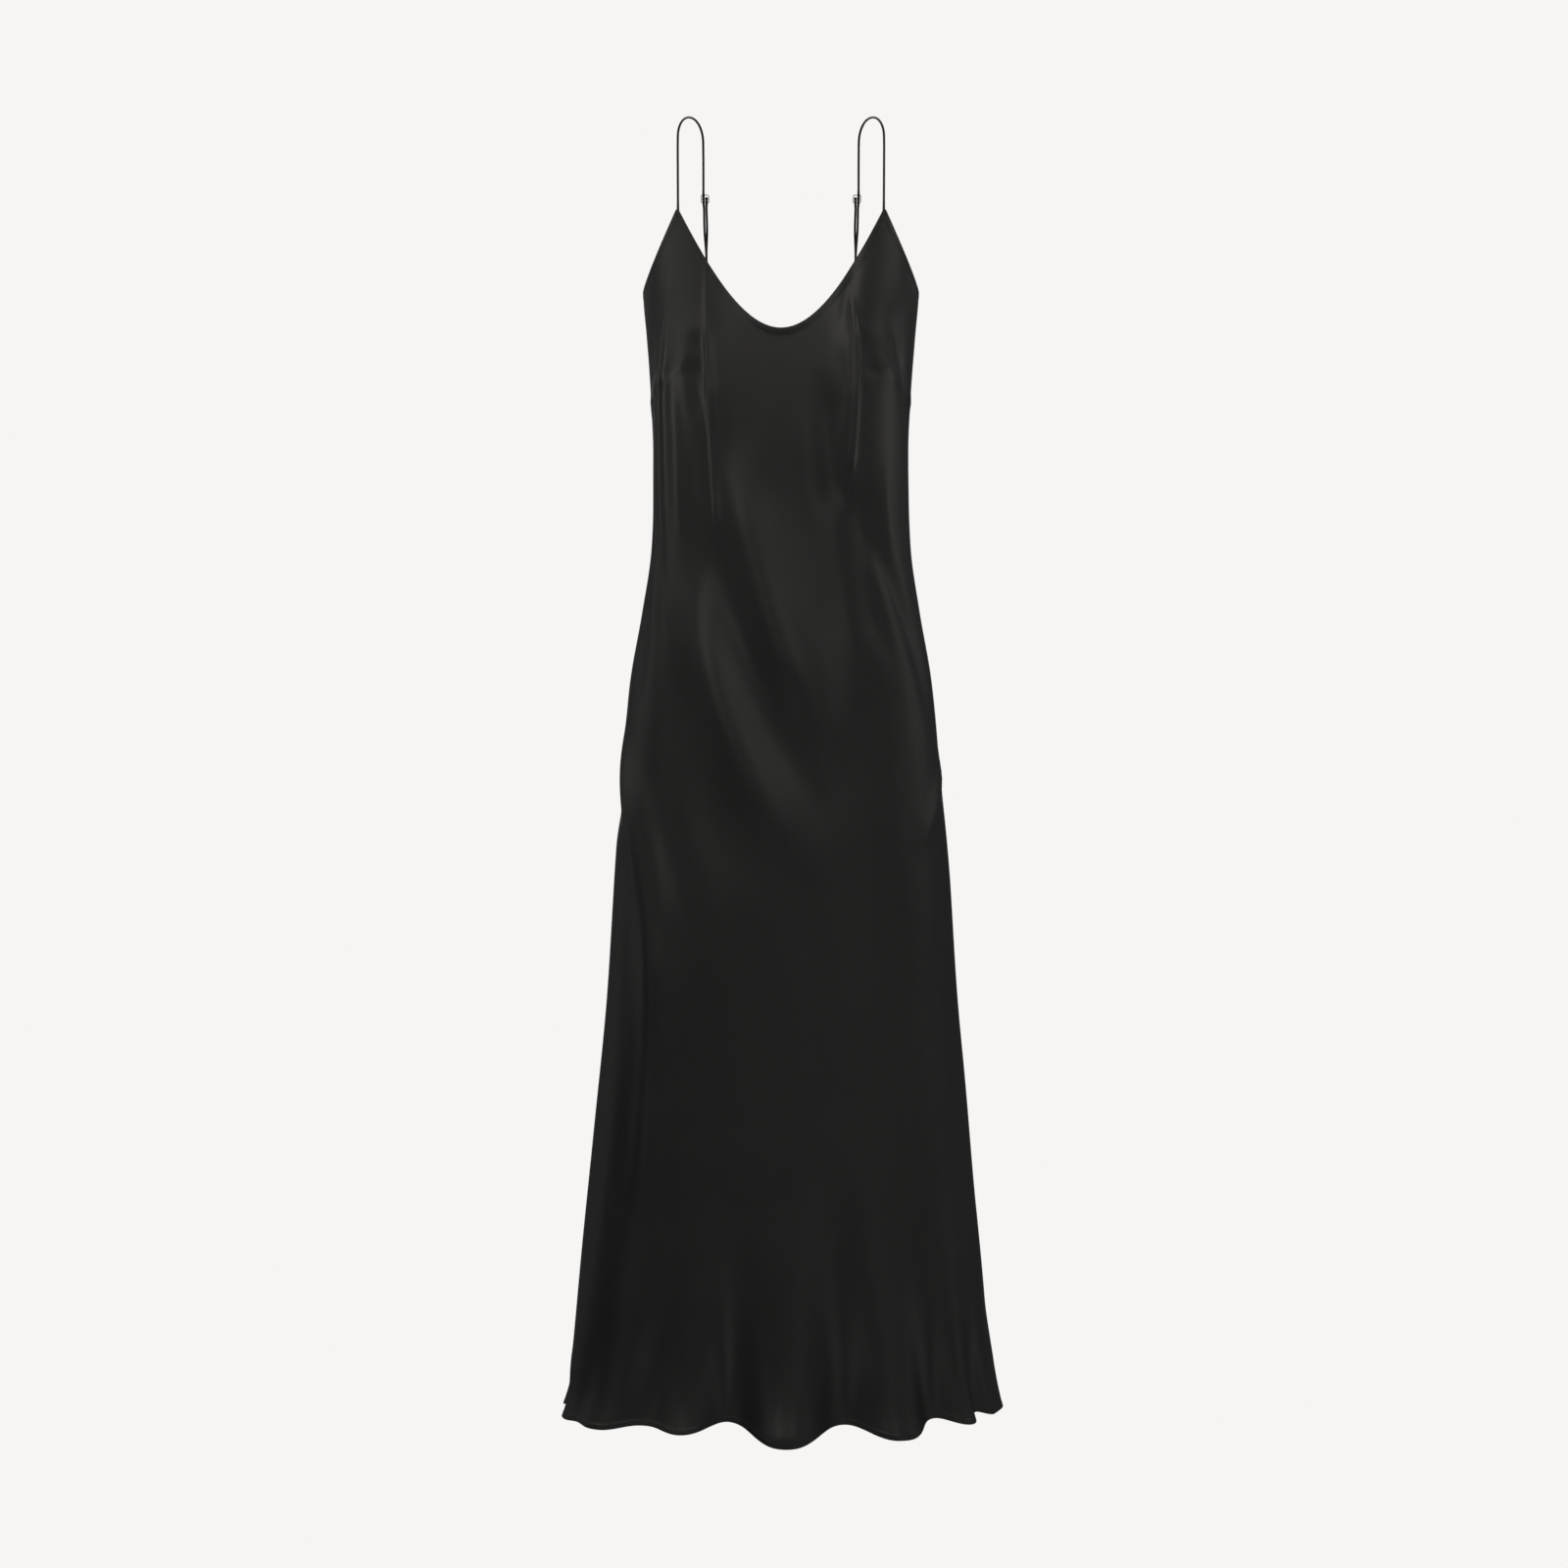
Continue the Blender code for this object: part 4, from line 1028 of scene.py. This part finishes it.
def onShoulder(x, angle):
    radius = strapSet["shoulderRadius"] + strapSet["radius"]
    return Vector((x, radius * math.cos(angle), radius * math.sin(angle) - strapSet["shoulderRadius"]))


def leavesShoulder(point, side):
    y, z = point.y, point.z + strapSet["shoulderRadius"]
    reach = (strapSet["shoulderRadius"] + strapSet["radius"]) / math.hypot(y, z)
    return (math.atan2(z, y) + side * math.acos(reach)) % (2 * math.pi)


def wireClearance(halfWidth, halfThick):
    radius = metalSet["ringRadius"]
    return metalSet["wire"] + cut["seamGap"] + halfThick + radius - math.sqrt(radius**2 - halfWidth**2)


# Where one strap starts, leaves the shoulder, passes its slider and meets its ring
def strapPlaces(hand):
    s = strapSet
    tip, tipOut, tipDown = pointFrame(frontSide, hand, cut["pointAcross"], tipDrop)
    seat, seatOut, seatDown = pointFrame(backSide, hand, cut["backPointAcross"], cut["backPointDrop"])
    sewn = tip - tipOut * (cut["solidWall"] / 2 + cut["seamGap"] + s["flatThick"])
    ringBottom = seat - seatDown * s["tabReach"]
    frontAngle, backAngle = leavesShoulder(sewn, frontSide), leavesShoulder(ringBottom, backSide)
    arcEnd = onShoulder(hand * (metalSet["sliderAcross"] + s["legOffset"]), backAngle)
    taut = ringBottom - arcEnd
    slider = arcEnd + taut * (metalSet["sliderDown"] / taut.length)
    slider.x = hand * metalSet["sliderAcross"]
    along = (ringBottom - slider).normalized()
    return {
        "tip": tip, "tipOut": tipOut, "tipDown": tipDown, "sewn": sewn,
        "frontAngle": frontAngle, "backAngle": backAngle,
        "arcStart": onShoulder(tip.x, frontAngle), "arcEnd": arcEnd,
        "slider": slider, "outer": Vector((hand, 0, 0)), "along": along,
        "away": along.cross(Vector((-1, 0, 0))).normalized(),
        "ring": ringBottom - along * metalSet["ringRadius"],
        "seat": seat, "seatOut": seatOut, "seatDown": seatDown,
    }


# A station of strap, from round where flat is 0 to pressed where it is 1
def strapStation(point, flat):
    radius, flat = strapSet["radius"], float(flat)
    width = radius + (strapSet["flatWidth"] - radius) * flat
    return (point, width, radius + (strapSet["flatThick"] - radius) * flat)


def bySlider(at, down, sideways, outward):
    return at["slider"] + at["along"] * down + at["outer"] * sideways + at["away"] * outward


def shoulderRun(at):
    s = strapSet
    run = [strapStation(at["sewn"] + at["tipDown"] * s["tuck"] * share, 1) for share in s["tuckShares"]]
    for share in s["rise"]:
        run.append(strapStation(at["sewn"].lerp(at["arcStart"], share), 1 - smoothStep(share / s["press"])))
    first, last = (math.radians(angle) for angle in s["shift"])
    for angle in np.linspace(at["frontAngle"], at["backAngle"], s["shoulderStations"]):
        shift = float(smoothStep((first - angle) / (first - last)))
        across = at["arcStart"].x + (at["arcEnd"].x - at["arcStart"].x) * shift
        run.append(strapStation(onShoulder(across, angle), 0))
    aboveSlider = bySlider(at, -metalSet["barSpacing"], s["legOffset"], -woven)
    for share in s["fall"]:
        flat = smoothStep((share - 1 + s["press"]) / s["press"])
        run.append(strapStation(at["arcEnd"].lerp(aboveSlider, share), flat))
    return run


# Between the slider and the round legs: pressed at first, and back to the middle of the bars
def halfRound(at, leg):
    run = []
    for share in strapSet["legShares"]:
        flat = smoothStep((1 - share) / strapSet["halfPressed"])
        offset = strapSet["legClose"] + (strapSet["legOffset"] - strapSet["legClose"]) * flat
        place = bySlider(at, strapSet["legsRound"] * share, leg * offset, -woven * flat)
        run.append(strapStation(place, flat))
    return run


def sliderRun(at):
    run, reach = [], metalSet["barSpacing"]
    for share in np.linspace(-1, 1, metalSet["weaveStations"]):
        place = bySlider(at, share * reach, strapSet["legOffset"], woven * math.cos(math.pi * share))
        run.append(strapStation(place, 1))
    return run + halfRound(at, 1)


# One leg of the doubled strap between slider and ring: leg is 1 going down and -1 coming back
def legRun(at, leg):
    s = strapSet
    clearance = wireClearance(s["radius"], s["radius"])
    ringTop = (at["ring"] - at["slider"]).length - metalSet["ringRadius"]
    run = []
    for down in np.linspace(s["legsRound"], ringTop, s["legStations"]):
        turned = float(smoothStep((down - s["legsRound"]) / (ringTop - s["legsRound"]) / s["legsTurn"]))
        offset = leg * (s["legClose"] + (clearance - s["legClose"]) * turned)
        angle = math.pi / 2 * turned
        run.append(strapStation(bySlider(at, down, offset * math.cos(angle), -offset * math.sin(angle)), 0))
    return run


def aroundWire(centre, up, out, radius):
    angles = np.linspace(0, math.pi, strapSet["loopStations"])
    return [centre + (up * math.sin(angle) - out * math.cos(angle)) * radius for angle in angles]


# The returning end, inside the bottom bar and over the centre bar, sewn to itself
def tailRun(at):
    run = halfRound(at, -1)[::-1]
    back = -strapSet["legOffset"]
    for share in strapSet["tuckShares"][:-1]:
        run.append(strapStation(bySlider(at, share * metalSet["barSpacing"], back, -woven), 1))
    centre = bySlider(at, 0, back, 0)
    run += [strapStation(point, 1) for point in aroundWire(centre, -at["along"], at["away"], woven)]
    run.append(strapStation(bySlider(at, strapSet["tail"], back, woven), 1))
    return run


def strapStations(at):
    clearance = wireClearance(strapSet["radius"], strapSet["radius"])
    wireTop = at["ring"] - at["along"] * metalSet["ringRadius"]
    turn = aroundWire(wireTop, at["along"], at["away"], clearance)[1:-1]
    legs = legRun(at, 1) + [strapStation(point, 0) for point in turn] + legRun(at, -1)[::-1]
    return shoulderRun(at) + sliderRun(at) + legs + tailRun(at)


def tabStations(at):
    s = strapSet
    outerEnd = cut["solidWall"] / 2 + cut["seamGap"] + s["flatThick"]
    innerEnd = outerEnd + cut["seamGap"] + 2 * s["flatThick"]
    ringBottom = at["ring"] + at["along"] * metalSet["ringRadius"]
    innerTuck = [s["tuck"] * share for share in s["tuckShares"][:-1] + (s["tabTuckEnd"],)]
    outerTuck = [s["tuck"] * share for share in s["tuckShares"][::-1]]
    points = [at["seat"] + at["seatDown"] * down - at["seatOut"] * innerEnd for down in innerTuck]
    points += aroundWire(ringBottom, -at["along"], at["away"], wireClearance(s["flatWidth"], s["flatThick"]))
    points += [at["seat"] + at["seatDown"] * down - at["seatOut"] * outerEnd for down in outerTuck]
    return [(point, s["flatWidth"], s["flatThick"]) for point in points]


# A solid along stations of (point, half width, half thickness), its width level, with a flat map in metres
def sweptObject(name, stations, level, sides, material, closed=False, seam=False):
    points = np.array([tuple(station[0]) for station in stations])
    half = np.array([station[1:] for station in stations])
    before, after = np.roll(points, 1, axis=0), np.roll(points, -1, axis=0)
    if not closed:
        before[0], after[-1] = points[0], points[-1]
    along = after - before
    along = along / np.linalg.norm(along, axis=1, keepdims=True)
    wide = np.array(level)[None, :] - along * (along @ np.array(level))[:, None]
    wide = wide / np.linalg.norm(wide, axis=1, keepdims=True)
    thick = np.cross(along, wide)
    turns = (np.arange(sides) + 0.5) / sides * 360
    fromSeam = (turns - strapSet["seamTurn"]) / strapSet["seamSpread"]
    shrink = 1 - (strapSet["seamDip"] if seam else 0) * np.exp(-(fromSeam**2))
    cosine, sine = np.cos(np.radians(turns)) * shrink, np.sin(np.radians(turns)) * shrink
    rings = points[:, None] + wide[:, None] * (half[:, :1] * cosine)[..., None]
    rings = rings + thick[:, None] * (half[:, 1:] * sine)[..., None]
    count = len(points)
    index = np.arange(count * sides).reshape(count, sides)
    following = np.concatenate([index[1:], index[:1]]) if closed else index[1:]
    first = index if closed else index[:-1]
    faces = np.stack([first, np.roll(first, -1, axis=1), np.roll(following, -1, axis=1), following], axis=-1)
    faces = faces.reshape(-1, 4).tolist()
    if not closed:
        faces += [index[0, ::-1].tolist(), index[-1].tolist()]
    mesh = newMesh(name, rings.reshape(-1, 3).tolist(), [], faces, material)
    length = np.concatenate([[0], np.cumsum(np.linalg.norm(np.diff(points, axis=0), axis=1))])
    girth = 2 * math.pi * half.mean()
    layer = mesh.uv_layers.new(name="cloth")
    for face in mesh.polygons:
        corners = [divmod(mesh.loops[i].vertex_index, sides) for i in face.loop_indices]
        wraps = max(c[1] for c in corners) - min(c[1] for c in corners) == sides - 1 and len(corners) == 4
        for i, (station, turn) in zip(face.loop_indices, corners):
            turn = turn + (sides if wraps and turn == 0 else 0)
            layer.data[i].uv = (turn / sides * girth, length[station])
    mesh.shade_smooth()
    mesh.set_sharp_from_angle(angle=math.radians(metalSet["sharpFrom"]))
    return newObject(name, mesh)


def wireObject(name, points, level, closed=False):
    stations = [(point, metalSet["wire"], metalSet["wire"]) for point in points]
    return sweptObject(name, stations, level, metalSet["sides"], polished, closed=closed)


def ringPoints(at):
    radius = metalSet["ringRadius"]
    turns = np.linspace(0, 2 * math.pi, metalSet["ringStations"], endpoint=False)
    across = Vector((radius, 0, 0))
    return [at["ring"] + across * math.cos(t) + at["along"] * radius * math.sin(t) for t in turns]


def sliderPoints(at):
    m = metalSet
    outline = []
    for quarter, (wayAcross, wayAlong) in enumerate(((1, 1), (-1, 1), (-1, -1), (1, -1))):
        across = wayAcross * (m["sliderHalfWidth"] - m["corner"])
        down = wayAlong * (m["barSpacing"] - m["corner"])
        for turn in np.linspace(0, math.pi / 2, m["cornerStations"]):
            angle = math.pi / 2 * quarter + turn
            place = Vector((across + m["corner"] * math.cos(angle), 0, 0))
            outline.append(at["slider"] + place + at["along"] * (down + m["corner"] * math.sin(angle)))
    return outline


# The slider's frame and its centre bar, joined into one solid
def makeSlider(name, at):
    made = wireObject(name, sliderPoints(at), at["away"], closed=True)
    reaches = metalSet["sliderHalfWidth"] * np.linspace(-1, 1, metalSet["barStations"])
    bar = wireObject(name + "Bar", [at["slider"] + Vector((reach, 0, 0)) for reach in reaches], at["away"])
    union = made.modifiers.new("centre bar", "BOOLEAN")
    union.operation = "UNION"
    union.object = bar
    joined = bakedMesh(made)
    made.modifiers.clear()
    made.data = joined
    bpy.data.objects.remove(bar, do_unlink=True)
    return made


metalLook = {
    "colour": (0.60, 0.59, 0.575),
    "roughness": (0.12, 0.24),
    "scratch": 900.0,
    "scratchDetail": 3.0,
    "scratchDepth": 0.000004,
    "scratchStrength": 0.4,
}


def metalMaterial(look):
    made, tree, shader = newMaterial("polished metal", {"Base Color": (*look["colour"], 1), "Metallic": 1.0})
    where = addNode(tree, "ShaderNodeTexCoord").outputs["Object"]
    noise = addNoise(tree, where, look["scratch"], look["scratchDetail"])
    addGloss(tree, shader, noise, look["roughness"])
    addBump(tree, shader, noise, look["scratchStrength"], look["scratchDepth"])
    return made


strapLook = dict(satinLook, roughness=(0.34, 0.44), floatLength=0.0012)
satinStrap = clothMaterial("satin strap", strapLook)
polished = metalMaterial(metalLook)
acrossX = (1.0, 0.0, 0.0)


# Short ladders of thread over a strap's sewn ends
def tackLines(at):
    start, run, outward = stitch["tackFrom"], stitch["tackRun"], shell["turnWall"] * shell["outShare"]
    onTip = at["tip"] + at["tipOut"] * outward
    onSeat = at["seat"] + at["seatOut"] * outward
    onTail = bySlider(at, 0, -strapSet["legOffset"], woven + strapSet["flatThick"])
    return [
        [onTip + at["tipDown"] * start, onTip + at["tipDown"] * (start + run)],
        [onSeat + at["seatDown"] * start, onSeat + at["seatDown"] * (start + run)],
        [onTail, onTail + at["along"] * run / 2],
    ]


hands = (("Left", -1), ("Right", 1))
for word, hand in hands:
    at = strapPlaces(hand)
    strap = sweptObject("strap" + word, strapStations(at), acrossX, strapSet["sides"], satinStrap, seam=True)
    tab = sweptObject("tab" + word, tabStations(at), acrossX, strapSet["sides"], satinStrap)
    ring = wireObject("ring" + word, ringPoints(at), at["away"], closed=True)
    slider = makeSlider("slider" + word, at)
    tacks = makeStitches("tacks" + word, tackLines(at), stitch["tackStep"], stitch["tackLength"], True)
    for piece, node, slot in (
        (strap, "strap_", "strap_satin"),
        (tab, "tab_", "strap_satin"),
        (ring, "ring_", "hardware"),
        (slider, "slider_", "hardware"),
    ):
        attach(piece, "root")
        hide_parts(node + word.lower())
    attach(tacks, "root")
print("straps, sliders, rings and tabs made")

# The narrow closed seam inside each side, pressed towards the back
sideSeam = {
    "halfWidth": 0.0026,
    "halfThick": 0.0004,
    "behind": 0.0020,
    "lift": 0.0008,  # in from the cloth, and this share of the seam's dip besides
    "dipShare": 0.6,
    "rows": 150,
    "sides": 12,
    "ends": 0.0010,
}


def seamStations(hand):
    s = sideSeam
    top, hem = cut["underarmDrop"], float(hemDropAt(backSide, np.array([hand * 1.0]))[0])
    drop = np.linspace(top + s["ends"], hem - s["ends"], s["rows"])
    around = hand * (1 - s["behind"] / quarterArc(drop))
    points = clothPoints(backSide, around, drop, np.full(drop.shape, top))
    points[:, 0] = points[:, 0] - hand * (s["lift"] + shell["seamDip"] * s["dipShare"])
    return [(Vector(point), s["halfWidth"], s["halfThick"]) for point in points]


for word, hand in hands:
    seam = sweptObject("seam" + word, seamStations(hand), (0.0, 1.0, 0.0), sideSeam["sides"], satinInside)
    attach(seam, "root")
